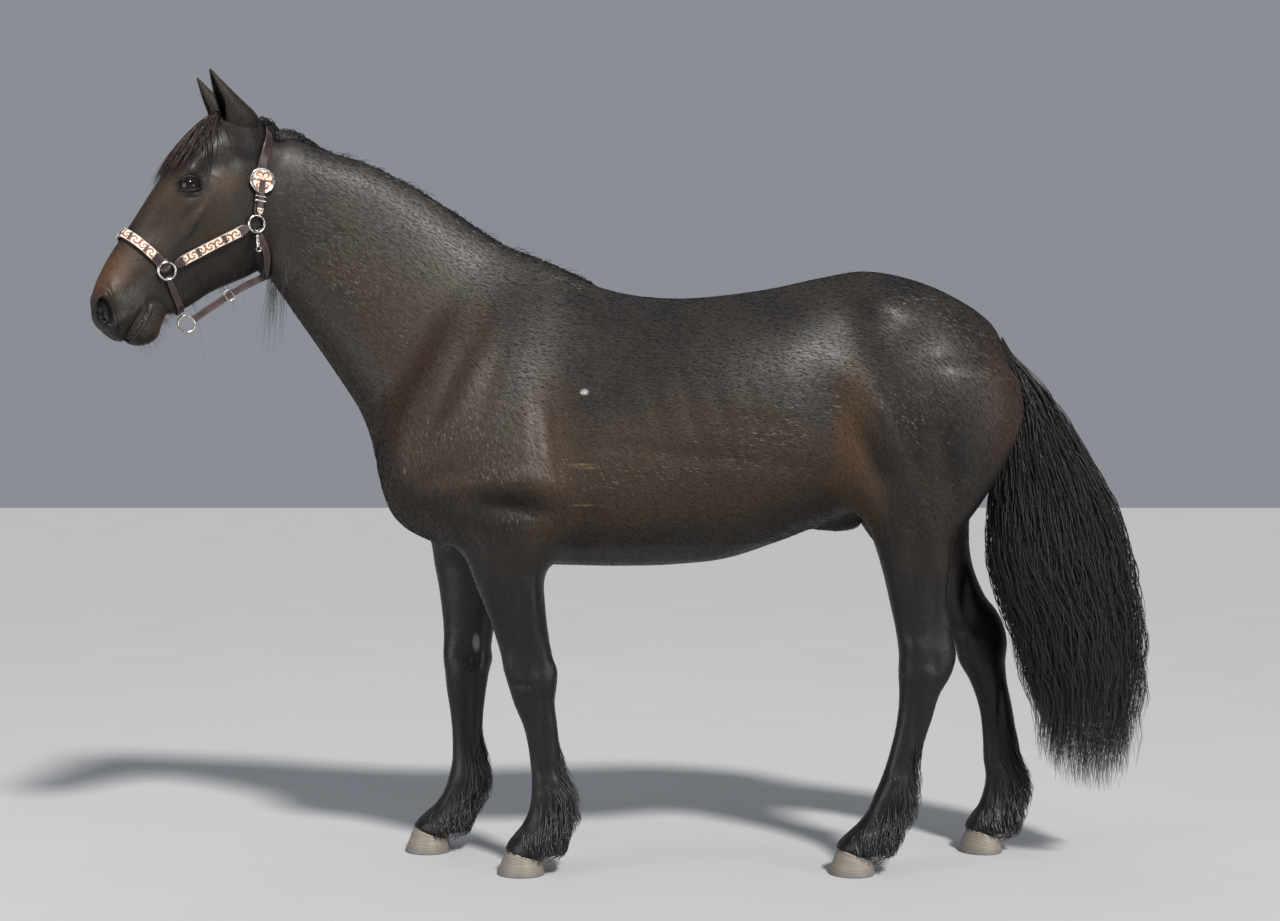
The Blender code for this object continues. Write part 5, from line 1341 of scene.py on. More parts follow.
def tail_lines(seed):
    rng = np.random.default_rng(seed)
    clump = rng.integers(0, TAIL_CLUMPS, TAIL_LOCKS)
    clump_turn = rng.uniform(0, 2 * np.pi, TAIL_CLUMPS)
    clump_depth = rng.uniform(0.25, 1.0, TAIL_CLUMPS) ** 0.5
    turn = clump_turn[clump] + rng.normal(0, 0.55, TAIL_LOCKS)
    depth = np.clip(clump_depth[clump] + rng.normal(0, 0.16, TAIL_LOCKS), 0.1, 1.02)
    t = np.linspace(0, 1, TAIL_STEPS)
    gather = 0.65 * eased_step(t)[None, :]  # the locks of a clump draw together downwards
    turns = turn[:, None] * (1 - gather) + clump_turn[clump][:, None] * gather
    depths = depth[:, None] * (1 - gather) + clump_depth[clump][:, None] * gather
    loft = Loft((0, 0, 0), UP, BACKWARD, TAIL_ROWS, power=2.0, caps=(0.001, 0.03))
    on_dock = rng.uniform(0, 1, TAIL_LOCKS) ** 0.8
    root_z = DOCK_TOP[1] + (DOCK_END[1] - DOCK_TOP[1]) * on_dock
    end_x = about_loft(loft, np.full(TAIL_LOCKS, 0.4), clump_turn[clump], clump_depth[clump])[:, 0]
    end_z = np.interp(end_x, *TAIL_ENDS)
    end_z = end_z + 0.07 * rng.uniform(0, 1, TAIL_CLUMPS)[clump] ** 2
    end_z = end_z + 0.34 * rng.uniform(0, 1, TAIL_LOCKS) ** 2.2
    z = root_z[:, None] + (end_z - root_z)[:, None] * t
    lines = about_loft(loft, np.maximum(z, 0.34), turns, depths)
    dock_x = np.interp(z, (DOCK_END[1], DOCK_TOP[1]), (DOCK_END[0], DOCK_TOP[0]))
    dock = np.stack([dock_x + 0.012 * np.cos(turns), 0.014 * np.sin(turns), z], axis=-1)
    fall = eased_step((root_z[:, None] - z) / 0.15)[..., None]
    lines[..., 2] = z
    lines = dock * (1 - fall) + lines * fall
    wave_length, wave_start, crimp_start = (
        rng.uniform(low, high, TAIL_CLUMPS)[clump][:, None] for low, high in ((0.16, 0.24), (0, 1), (0, 1))
    )
    wave = 2 * np.pi * (z / wave_length + wave_start)
    sway = (0.004 + 0.006 * t) * fall[..., 0]
    lines[..., 0] += sway * np.sin(wave) * 0.8
    lines[..., 1] += sway * np.cos(wave * 0.8) * 0.8
    crimp = 2 * np.pi * (z / 0.13 + crimp_start)
    lines[..., 1] += 0.0026 * fall[..., 0] * np.sin(crimp)
    lines[..., 0] += 0.0014 * fall[..., 0] * np.cos(crimp * 1.1)
    return lines


black_hair = lock_nodes(hair_paint("black_hair", (0.004, 0.0036, 0.004), (0.032, 0.026, 0.023)))
taper = np.interp(np.linspace(0, 1, TAIL_STEPS), (0, 0.1, 0.6, 0.9, 1), (0.7, 1.0, 0.9, 0.55, 0.12))
for name, seed in TAIL_PIECES.items():
    wide = np.random.default_rng(seed).uniform(0.0024, 0.005, (TAIL_LOCKS, 1))
    piece = locks(name, tail_lines(seed), taper * wide, black_hair)
    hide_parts("tail")

# ---------- mane
# Short pulled hair that stands on the crest and falls to the far side, with wisps along it.
CREST_LINE = [
    (-1.15, -0.054, 1.828), (-1.085, -0.05, 1.812), (-0.93, -0.028, 1.742), (-0.8, -0.012, 1.69),
    (-0.66, -0.004, 1.612), (-0.54, 0.0, 1.525), (-0.42, 0.0, 1.47), (-0.3, 0.0, 1.425),
]
MANE_LOCKS, MANE_STEPS = 2300, 8
MANE_TUFT = (0.0, 0.03, 0.06, 0.09, 0.14, 0.19), (0.8, 0.95, 0.85, 0.55, 0.24, 0.0)  # how full it is


def smooth_line(points, count):
    """Points evenly along the smooth curve through a few given ones."""
    points = np.array(points, float)
    steps = np.linalg.norm(np.diff(points, axis=0), axis=1)
    rows = np.column_stack([np.concatenate([[0], np.cumsum(steps)]), points])
    _, columns = smooth_rows([tuple(row) for row in rows], count)
    return columns[1:].T


def surface_beyond(origin, way):
    """Where a ray from inside the body comes out, and the outward normal there."""
    place, normal, _, _ = skin_tree.ray_cast(Vector(origin), Vector(way).normalized())
    return np.array(place), np.array(normal)


def mane_lock(rng, crest, along, start, end, lift, loose=False, back=0.0):
    """One lock, from the crest over and down the side of the neck; a loose one ends in the air."""
    i = int(along * (len(crest) - 2))
    ahead = unit(crest[i + 1] - crest[i])
    right = np.array((0.0, 1.0, 0.0))
    up = np.cross(ahead, right)
    up *= np.sign(up[2])
    drift = rng.normal(0.022, 0.014) * (1 - back * 12) + back
    line = []
    for t in np.linspace(0, 1, MANE_STEPS):
        turn = math.radians(start + (end - start) * t)
        origin = crest[i] + ahead * drift * t
        place, normal = surface_beyond(origin, up * math.cos(turn) + right * math.sin(turn))
        height = lift * (t**0.7 if loose else math.sin(math.pi * min(1.0, t * 1.15 + 0.02)) ** 0.8)
        line.append(place + normal * (height - 0.002 * (t == 0)))
    return line


def mane_lines():
    rng = np.random.default_rng(21)
    crest = smooth_line(CREST_LINE, 240)
    lines = []
    for _ in range(MANE_LOCKS):
        along = rng.uniform(0.0, 1.0) ** 1.15
        fall = 112 - 50 * along**2
        tuft = float(np.interp(along, *MANE_TUFT))
        start = rng.normal(2, 7) - 24 * tuft
        end = start + (fall - start) * rng.uniform(0.45, 1.0)
        lift = rng.uniform(0.005, 0.008) + rng.uniform(0.5, 1.0) ** 0.3 * 0.038 * tuft
        lines.append(mane_lock(rng, crest, along, start, end, lift, back=0.03 * tuft))
    for _ in range(110):  # wisps that stand up, and a few that fall on the near side behind the ears
        behind_ears = rng.uniform() < 0.3
        along = rng.uniform(0, 0.05) if behind_ears else rng.uniform(0.05, 1)
        end = rng.uniform(-60, -30) if behind_ears else rng.normal(0, 22)
        start, lift = rng.normal(0, 6), rng.uniform(0.006, 0.022)
        lines.append(mane_lock(rng, crest, along, start, end, lift, loose=True))
    return np.array(lines)


taper = np.interp(np.linspace(0, 1, MANE_STEPS), (0, 0.2, 0.7, 1), (0.8, 1.0, 0.75, 0.1))
mane = locks("mane_locks", mane_lines(), taper * 0.0026, black_hair)
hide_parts("mane")

# ---------- forelock
# Dark red-brown strands that fall from between the ears and spread over the forehead.
FORELOCK_LOCKS, FORELOCK_STEPS = 520, 14
brown_hair = hair_paint("brown_hair", (0.009, 0.0034, 0.0034), (0.06, 0.017, 0.014), 0.42, (30, 30, 30), 0.3)
brown_hair = lock_nodes(brown_hair)


def forelock_lines():
    rng = np.random.default_rng(31)
    lines = []
    for _ in range(FORELOCK_LOCKS):
        spread = rng.normal(4, 25)
        reach = rng.uniform(0.11, 0.26) * (1 - 0.3 * min(1, abs(spread) / 60))
        start = rng.uniform(0.035, 0.07)
        lift, bow, curl = rng.uniform(0.001, 0.018), rng.uniform(0.8, 1.5), rng.uniform(0, 2 * np.pi)
        line = []
        for t in np.linspace(0, 1, FORELOCK_STEPS):
            turn = math.radians(spread * (0.25 + 0.95 * t**0.8) + 2.0 * math.sin(curl + 6 * t))
            origin = head_place(start + reach * t, 0.03, 0.0)
            place, normal = surface_beyond(origin, HEAD[1] * math.cos(turn) + HEAD[2] * math.sin(turn))
            height = lift * math.sin(math.pi * min(1, 0.08 + 0.72 * t**bow)) + 1.25 * max(0.0, t - 0.8) * lift
            line.append(place + normal * (height - 0.002 * (t == 0)))
        lines.append(line)
    return np.array(lines)


taper = np.interp(np.linspace(0, 1, FORELOCK_STEPS), (0, 0.15, 0.7, 1), (0.7, 1.0, 0.75, 0.08))
forelock = locks("forelock_locks", forelock_lines(), taper * 0.004, brown_hair)
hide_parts("forelock")

# ---------- feathers
# Longer hair behind each cannon and fetlock, and the fringe that falls over the coronet and the heels.
FEATHER_LOCKS, FEATHER_STEPS, FRINGE_SHARE = 800, 9, 0.35


def feather_lines(edges, sides, side, seed):
    rng = np.random.default_rng(seed)
    leg, plume = limb_loft(edges, sides, side), feather_loft(edges, sides, side)
    fringe = rng.uniform(0, 1, FEATHER_LOCKS) < FRINGE_SHARE
    turn = np.where(fringe, rng.uniform(-np.pi, np.pi, FEATHER_LOCKS), rng.normal(0, 0.85, FEATHER_LOCKS))
    turn = np.where(fringe, turn, np.clip(turn, -2.2, 2.2))
    count = FEATHER_LOCKS
    top = np.where(fringe, rng.uniform(0.04, 0.085, count), rng.triangular(0.07, 0.13, 0.32, count))
    length = np.where(fringe, rng.uniform(0.028, 0.05, count), rng.uniform(0.045, 0.105, count))
    end = np.maximum(top - length, np.where(np.abs(turn) > 2.0, 0.012, -0.024))  # shorter in front
    t = np.linspace(0, 1, FEATHER_STEPS)
    z = top[:, None] + (end - top)[:, None] * t
    swing = turn[:, None] + rng.normal(0, 0.1, FEATHER_LOCKS)[:, None] * t
    on_leg = about_loft(leg, z, swing, 0.98)
    hanging = about_loft(plume, z, swing, rng.uniform(0.9, 1.04, FEATHER_LOCKS)[:, None])
    share = (eased_step(t * 1.2) * rng.uniform(0.35, 1.0, FEATHER_LOCKS)[:, None])[..., None]
    lines = on_leg * (1 - share) + hanging * share
    lines[..., 0] += 0.0016 * np.sin(5 * t + turn[:, None] * 9) * t
    return lines


taper = np.interp(np.linspace(0, 1, FEATHER_STEPS), (0, 0.25, 0.7, 1), (0.6, 1.0, 0.8, 0.1))
for seed, (name, limb) in enumerate(LIMBS.items()):
    locks("feather_" + name, feather_lines(*limb, seed), taper * 0.003, black_hair)

# ---------- fine hairs
# Loose hairs under the throat and jaw, feelers on the chin and lips, lashes, and hair inside the ears.
# Each set: count, middle of the roots, their spread, the way the hairs go, lengths, width, how far they sag
FINE_HAIRS = {
    "throat_hairs": (
        90, (0.3, -0.255, 0.0), (0.085, 0.01, 0.022), (0.55, -0.8, 0.0), (0.05, 0.14), 0.0011, 0.5
    ),
    "chin_hairs": (
        70, (0.62, -0.092, 0.0), (0.03, 0.006, 0.022), (0.45, -0.9, 0.0), (0.015, 0.035), 0.0006, 0.2
    ),
    "chin_groove_hairs": (
        90, (0.56, -0.085, 0.0), (0.012, 0.004, 0.016), (-0.25, -1.0, 0.0), (0.012, 0.03), 0.0009, 0.3
    ),
    "muzzle_hairs": (
        60, (0.655, -0.01, 0.0), (0.022, 0.022, 0.045), (0.75, -0.3, 0.0), (0.008, 0.022), 0.0005, 0.1
    ),
    "jaw_hairs": (
        120, (0.43, -0.15, 0.0), (0.09, 0.012, 0.02), (0.35, -0.95, 0.0), (0.01, 0.028), 0.0008, 0.3
    ),
}
FINE_STEPS = 8


def on_hide(point):
    place, normal, _, _ = skin_tree.find_nearest(Vector(point))
    return np.array(place), np.array(normal)


def hairs(name, count, middle, spread, way, lengths, width, sag, seed):
    rng = np.random.default_rng(seed)
    way = np.array(way) @ HEAD
    t = np.linspace(0, 1, FINE_STEPS)[:, None]
    lines = []
    for _ in range(count):
        root, normal = on_hide(head_place(*rng.normal(middle, spread)))
        length = rng.uniform(*lengths)
        heading = unit(way + normal * 0.6 + rng.normal(0, 0.16, 3))
        bend = rng.normal(0, 0.12, 3) + (0.0, 0.0, -sag)
        lines.append(root - heading * 0.002 + heading * length * t + bend * length * t**2)
    return locks(name, np.array(lines), np.linspace(1, 0.15, FINE_STEPS) * width, black_hair)


for seed, (name, hair) in enumerate(FINE_HAIRS.items()):
    hairs(name, *hair, seed)


def lash_lines(side):
    rng = np.random.default_rng(51)
    middle, look, corner, upper = eye_frame(side)
    t = np.linspace(0, 1, FINE_STEPS)[:, None]
    lines = []
    for along in np.clip(rng.normal(0.05, 0.42, 70), -0.92, 0.92):
        sweep = LID_CORNER_ANGLE * along
        rise = UPPER_LID_ANGLE * (1 - abs(along) ** 2.4) ** 0.75 + rng.uniform(0.02, 0.1)
        flat = corner * sweep + upper * rise
        tilt = np.linalg.norm(flat)
        out = look * math.cos(tilt) + flat / tilt * math.sin(tilt)
        root = middle + out * (EYE_RADIUS + 0.0024)
        length = rng.uniform(0.009, 0.017)
        way = look * 0.75 + corner * 0.35 - upper * 0.15 + rng.normal(0, 0.1, 3)
        lines.append(root + way * length * t - np.array((0, 0, 0.6)) * length * t**2)
    return lines


def ear_lines(side):
    rng = np.random.default_rng(61)
    root, tip, open_way, across = ear_frame(side)
    t = np.linspace(0, 1, FINE_STEPS)[:, None]
    lines = []
    for _ in range(150):
        up = rng.uniform(0.1, 0.72)
        half = np.interp(up, [row[0] for row in EAR_PROFILE], [row[1] for row in EAR_PROFILE]) * 0.8
        edge = rng.uniform(-1, 1)
        start = root + (tip - root) * up + across * half * edge
        start = start + open_way * half * (0.15 - 0.5 * (1 - edge**2))
        way = open_way * 0.8 + (tip - root) * 4.0 * rng.uniform(0.4, 1) - across * edge * 0.5
        way = way + rng.normal(0, 0.15, 3)
        lines.append(start + way * rng.uniform(0.014, 0.028) * t)
    return lines


taper = np.linspace(1, 0.15, FINE_STEPS)
locks("lashes", np.array(lash_lines(1) + lash_lines(-1)), taper * 0.0007, black_hair)
locks("ear_hairs", np.array(ear_lines(1) + ear_lines(-1)), taper * 0.0012, black_hair)

# ---------- halter
# A show halter of dark oiled leather: stitched straps between round rings, with carved pale overlays that
# are edged with beads, a round concho on each side below the crown, and a snap under the throat ring.
# Places are in the head's own frame: down the face, towards the forehead, to the side.
THROAT_RING, NOSE_RING, CHIN_RING = (0.244, -0.116, 0.085), (0.476, -0.008, 0.065), (0.535, -0.116, 0.0)
RING_RADIUS, RING_WIRE = 0.0215, 0.0032
CONCHO, CONCHO_RADIUS = (0.145, -0.064, 0.1), 0.033
# Straps that run from one side to the other: their left half, width, thickness
STRAPS_ACROSS = {
    "halter_crown": (
        [(0.236, -0.116, 0.09), (0.145, -0.064, 0.1), (0.07, -0.024, 0.08), (0.01, -0.004, 0.0)],
        0.026, 0.0035
    ),
    "halter_noseband": ([(0.47, 0.0, 0.07), (0.458, 0.085, 0.065), (0.454, 0.135, 0.0)], 0.028, 0.0045),
    "halter_chin_strap": ([(0.482, -0.014, 0.06), (0.512, -0.07, 0.05), (0.535, -0.116, 0.0)], 0.018, 0.0035),
    "halter_throat_strap": (
        [(0.248, -0.122, 0.09), (0.285, -0.18, 0.07), (0.318, -0.225, 0.0)], 0.018, 0.0035
    ),
}
CHEEK_STRAP = [(0.25, -0.112, 0.09), (0.36, -0.058, 0.08), (0.47, -0.01, 0.07)], 0.028, 0.0045
JAW_STRAP = [(0.52, -0.14, 0.0), (0.455, -0.163, 0.0), (0.385, -0.19, 0.0)]  # then up to the throat strap
SIDES = {"left": 1, "right": -1}
OVER_COAT = 0.0045  # a strap's underside, over the hide
BEAD_PITCH, BEAD_RADIUS = 0.0027, 0.0012


def leather_paint(name, dark, light):
    paint = Paint(name, roughness=0.4, coat_weight=0.25, coat_roughness=0.25)
    spot = attribute_place(paint)
    along, across, _ = (paint.axis(way, spot) for way in np.eye(3))
    grain = paint.noise(260.0, 4.0)
    worn = paint.noise(30.0, 4.0)
    edge = across.size().step(0.78, 0.98)
    colour = paint.mix(dark, light, worn.step(0.42, 0.72))
    colour = paint.mix(colour, (0.022, 0.01, 0.009), edge * 0.8)
    seam = across.size().step(0.7, 0.76) * (1 - across.size().step(0.78, 0.84))
    thread = seam * (along * 1050.0).sine().step(-0.2, 0.3)
    colour = paint.mix(colour, (0.23, 0.17, 0.12), thread * 0.55)
    paint.feed("Base Color", colour)
    paint.feed("Roughness", grain * 0.2 + worn * 0.12 + 0.22)
    paint.bump(grain * 0.15 - seam + thread * 1.4 - edge, 0.0006, 0.8)
    return paint.material


def attribute_place(paint):
    """Along a strap in metres, across it from -1 to 1, and how far along it as a share."""
    return paint.node("ShaderNodeAttribute", {"attribute_name": "strap"}).outputs["Vector"]


SCROLL_PITCH = 0.024


def tooled_paint():
    """Pale leather carved with scrolls, stained brown in the cuts, with dark bands between the panels."""
    paint = Paint("tooled_leather", roughness=0.45)
    spot = attribute_place(paint)
    along, across, share = (paint.axis(way, spot) for way in np.eye(3))
    panels = along / SCROLL_PITCH
    cell = panels.math("FRACT", panels) - 0.5
    flip = (panels * math.pi).sine()
    flip = flip.math("SIGN", flip)
    height = across * 0.5 * flip
    reach = (cell * cell + height * height) ** 0.5
    turn = cell.math("ARCTAN2", height, cell)
    scroll = (turn * 2.0 + reach * 13.0 + paint.noise(90.0) * 3.0).sine()
    petals = (turn * 5.0).sine() * reach.step(0.3, 0.22)
    cut = (scroll * 0.8 + petals * 0.6).step(0.05, 0.35)
    colour = paint.mix((0.76, 0.64, 0.53), (0.26, 0.09, 0.04), cut)
    colour = paint.mix(colour, (0.11, 0.04, 0.02), (cut * paint.noise(300.0)).step(0.52, 0.62))
    bands = (share - 0.27).size().step(0.036, 0.026) + (share - 0.73).size().step(0.036, 0.026)
    lattice = (along * 2600.0).sine() * (across * 9.0).sine()
    band_colour = paint.mix((0.01, 0.009, 0.009), (0.3, 0.25, 0.19), lattice.step(0.5, 0.8))
    colour = paint.mix(colour, band_colour, bands)
    paint.feed("Base Color", colour)
    paint.feed("Roughness", cut * 0.2 + 0.35)
    paint.bump((1 - cut) * (1 - bands) + bands * 0.6, 0.0009, 1.0)
    return paint.material


def metal_paint(name, colour, tarnish):
    paint = Paint(name, metallic=1.0, roughness=0.25)
    wear = paint.noise(140.0, 4.0)
    paint.feed("Base Color", paint.mix(tarnish, colour, wear.step(0.34, 0.56)))
    paint.feed("Roughness", paint.noise(320.0) * 0.22 + 0.12)
    paint.bump(wear, 0.0002, 0.4)
    return paint.material


leather = leather_paint("halter_leather", (0.016, 0.0065, 0.0075), (0.052, 0.019, 0.02))
tooled = tooled_paint()
silver = metal_paint("halter_silver", (0.66, 0.62, 0.56), (0.16, 0.14, 0.12))
bead_paint = Paint("halter_beads", roughness=0.35)
grain = bead_paint.noise(400.0).step(0.4, 0.6)
bead_paint.feed("Base Color", bead_paint.mix((0.5, 0.44, 0.36), (0.78, 0.74, 0.66), grain))


def eased(rows, rounds):
    """Rows of numbers, each drawn towards its neighbours; the two ends stay."""
    rows = np.array(rows, float)
    for _ in range(rounds):
        rows[1:-1] = (rows[:-2] + 2 * rows[1:-1] + rows[2:]) / 4
    return rows


def halter_piece(name, bm, material, *nodes, spots=None):
    mesh = mesh_from(bm, name)
    if spots is not None:
        put_attribute(mesh, "strap", "FLOAT_VECTOR", spots, "vector")
    mesh.transform(Matrix.Translation(HOME))
    obj = new_object(name, mesh)
    mesh.materials.append(material)
    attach(obj, "root")
    if nodes:
        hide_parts(*nodes)


class Course:
    """The course of a strap: its middle line on the hide, the way out, and the way across."""

    def __init__(self, line, width, free=False):
        self.line = np.array(line)
        ahead = np.gradient(self.line, axis=0)
        ahead /= np.linalg.norm(ahead, axis=1)[:, None]
        normal = np.array([HEAD[2] if free else on_hide(point)[1] for point in self.line])
        normal = eased(normal, 12)
        normal -= ahead * (normal * ahead).sum(axis=1)[:, None]
        self.normal = normal / np.linalg.norm(normal, axis=1)[:, None]
        self.across = np.cross(ahead, self.normal)
        self.width = width
        if not free:
            lifts = np.full(len(self.line), OVER_COAT)
            for i, (place, out, side) in enumerate(zip(self.line, self.normal, self.across)):
                for edge in np.linspace(-0.5, 0.5, 5):
                    corner = place + side * width * edge
                    hit, _, _, _ = skin_tree.ray_cast(Vector(corner + out * 0.04), Vector(-out), 0.08)
                    if hit:
                        lifts[i] = max(lifts[i], OVER_COAT + (np.array(hit) - corner) @ out)
            lifts = eased([max(lifts[max(i - 3, 0) : i + 4]) for i in range(len(lifts))], 3)
            self.line = self.line + self.normal * lifts[:, None]
        steps = np.linalg.norm(np.diff(self.line, axis=0), axis=1)
        self.along = np.concatenate([[0], np.cumsum(steps)])

    def part(self, start, end):
        """The stretch between two shares of the length."""
        kept = (self.along >= start * self.along[-1]) & (self.along <= end * self.along[-1])
        piece = Course.__new__(Course)
        piece.line, piece.normal, piece.across = self.line[kept], self.normal[kept], self.across[kept]
        piece.along, piece.width = self.along[kept] - self.along[kept][0], self.width
        return piece


def strap(name, course, width, thickness, material, *nodes, rise=0.0, pointed=(0.0, 0.0)):
    """A flat strap with rounded edges. pointed: the lengths over which its two ends narrow."""
    side, over = rounded(turns(20), 0.45)
    total = course.along[-1]
    bm = bmesh.new()
    rings, spots = [], []
    for place, out, across, along in zip(course.line, course.normal, course.across, course.along):
        narrow = 1.0
        for length, gone in zip(pointed, (along, total - along)):
            if length and gone < length:
                narrow = min(narrow, max(0.12, 1 - (1 - gone / length) ** 2.2))
        half = width / 2 * narrow
        height = thickness / 2 * (1 + over) + rise
        rings.append(place + across * (side * half)[:, None] + out * height[:, None])
        spots += [(along, s, along / total) for s in side]
    add_rings(bm, rings)
    halter_piece(name, bm, material, *nodes, spots=np.array(spots))


def bead(bm, place, radius):
    bmesh.ops.create_icosphere(bm, subdivisions=1, radius=radius, matrix=Matrix.Translation(place))


def bead_row(name, course, offset, rise):
    """A row of small beads along one edge of an overlay."""
    count = int(course.along[-1] / BEAD_PITCH)
    bm = bmesh.new()
    for at in np.linspace(0, course.along[-1], max(count, 2)):
        place, out, across = (
            np.array([np.interp(at, course.along, column) for column in rows.T])
            for rows in (course.line, course.normal, course.across)
        )
        bead(bm, place + across * offset + out * rise, BEAD_RADIUS)
    halter_piece(name, bm, bead_paint.material)


def overlay(name, course, width, thickness):
    """A carved panel on a strap, with beads along both edges."""
    strap(name, course, width, 0.0022, tooled, rise=thickness, pointed=(0.006, 0.006))
    for word, offset in (("upper", 0.5), ("lower", -0.5)):
        bead_row(f"{name}_{word}_beads", course, offset * (width - 0.0004), thickness + 0.0017)


def add_wire(bm, rings):
    """Wire bent into a ring, from the sections along it."""
    add_rings(bm, rings + rings[:1], ends=False)
    bmesh.ops.remove_doubles(bm, verts=bm.verts, dist=1e-6)


def facing_turn(facing):
    return np.array(Vector(facing).to_track_quat("Z", "Y").to_matrix()).T


def torus(bm, centre, facing, radius, wire):
    """A round ring of wire, added to a mesh."""
    around = turns(14)
    rings = []
    for angle in turns(56):
        out = np.array((math.cos(angle), math.sin(angle), 0.0))
        local = np.outer(radius + wire * np.cos(around), out) + np.outer(np.sin(around) * wire, (0, 0, 1))
        rings.append(local @ facing_turn(facing) + centre)
    add_wire(bm, rings)


def turned(bm, centre, facing, profile, count=40):
    """A turned shape: (radius, height) rows along the way it faces."""
    angle = turns(count)
    rings = []
    for radius, height in profile:
        local = np.stack([radius * np.cos(angle), radius * np.sin(angle), np.full(count, height)], axis=1)
        rings.append(local @ facing_turn(facing) + centre)
    add_rings(bm, rings)


rings_at = {}
for name, spot in (("throat", THROAT_RING), ("nose", NOSE_RING)):
    for word, side in SIDES.items():
        place, out = on_hide(head_place(spot[0], spot[1], side * spot[2]))
        rings_at[name, side] = place + out * 0.0097
        bm = bmesh.new()
        torus(bm, rings_at[name, side], out, RING_RADIUS, RING_WIRE)
        halter_piece(f"{name}_ring_{word}", bm, silver, f"halter_{name}_ring_{word}")
place, out = on_hide(head_place(*CHIN_RING) - HEAD[1] * 0.004)
rings_at["chin", 0] = place + out * 0.0362
bm = bmesh.new()
torus(bm, rings_at["chin", 0], HEAD[2], RING_RADIUS, RING_WIRE)
halter_piece("chin_ring", bm, silver, "halter_chin_ring")


def between_rings(points, count, on_skin=True, reach=RING_RADIUS - 0.004):
    """A smooth line on the hide that ends just inside the rings' wire."""
    line = smooth_line([head_place(*p) for p in points], 240)
    if on_skin:
        line = smooth_line(eased([on_hide(p)[0] for p in line[::8]], 4), 240)
    clear = [p for p in line if all(np.linalg.norm(p - centre) > reach for centre in rings_at.values())]
    return smooth_line(clear[::6] + clear[-1:] * (len(clear) % 6 != 1), count)


def keeper(bm, course, i, ahead, halves, rise, power, steps):
    """A loop round a strap at its i-th point. steps: how far along the loop, and its size there."""
    side, over = rounded(turns(24), power)
    edge = np.outer(side * halves[0], course.across[i]) + np.outer(rise + over * halves[1], course.normal[i])
    steps = steps + [(-far, size) for far, size in reversed(steps)]
    add_rings(bm, [course.line[i] + edge * size + ahead * far for far, size in steps])


courses = {}
for name, (half, width, thickness) in STRAPS_ACROSS.items():
    whole = half + [(s, a, -b) for s, a, b in half[-2::-1]]
    courses[name] = Course(between_rings(whole, 150), width)
    narrow = 0.016 if width > 0.02 else 0.0
    strap(name + "_leather", courses[name], width, thickness, leather, name, pointed=(narrow, narrow))
route, width, thickness = CHEEK_STRAP
for word, side in SIDES.items():
    course = Course(between_rings([(s, a, side * b) for s, a, b in route], 90), width)
    name = f"halter_cheek_strap_{word}"
    strap(name + "_leather", course, width, thickness, leather, name, pointed=(0.03, 0.03))
    overlay(f"halter_cheek_overlay_{word}", course.part(0.14, 0.86), 0.023, thickness)
throat_strap = courses["halter_throat_strap"]
middle = len(throat_strap.line) // 2
end = throat_strap.line[middle] + throat_strap.normal[middle] * 0.004
bm = bmesh.new()
keeper(bm, throat_strap, middle, HEAD[2] * 0.0085, (0.0118, 0.0048), 0.0018, 0.5, [(-1, 0.92), (-0.8, 1)])
halter_piece("jaw_strap_loop", bm, leather, spots=np.tile((0.0, 0.0, 0.5), (96, 1)))
end = tuple((end - np.array(POLL)) @ HEAD.T)
course = Course(between_rings(JAW_STRAP + [end], 60, on_skin=False), 0.018, free=True)
strap("halter_jaw_strap_leather", course, 0.018, 0.0035, leather, "halter_jaw_strap")
for word, (start, end) in {"left": (0.1, 0.46), "right": (0.54, 0.9)}.items():
    overlay(f"halter_nose_overlay_{word}", courses["halter_noseband"].part(start, end), 0.023, 0.0045)

for word, side in SIDES.items():  # a round guard of leather behind the top of each nose ring
    ring_at = rings_at["nose", side]
    place, out = on_hide(ring_at + HEAD[1] * 0.014 - HEAD[0] * 0.006)
    bm = bmesh.new()
    profile = [(0.0005, 0.003), (0.016, 0.003), (0.0185, 0.0018), (0.0185, 0.0), (0.0005, 0.0)]
    turned(bm, place + out * 0.0035, out, profile)
    flat = np.array([vert.co[:] for vert in bm.verts]) - place
    spots = np.column_stack([flat @ HEAD[0], np.linalg.norm(flat, axis=1) / 0.019, np.full(len(flat), 0.5)])
    halter_piece(f"nose_guard_{word}", bm, leather, spots=spots)

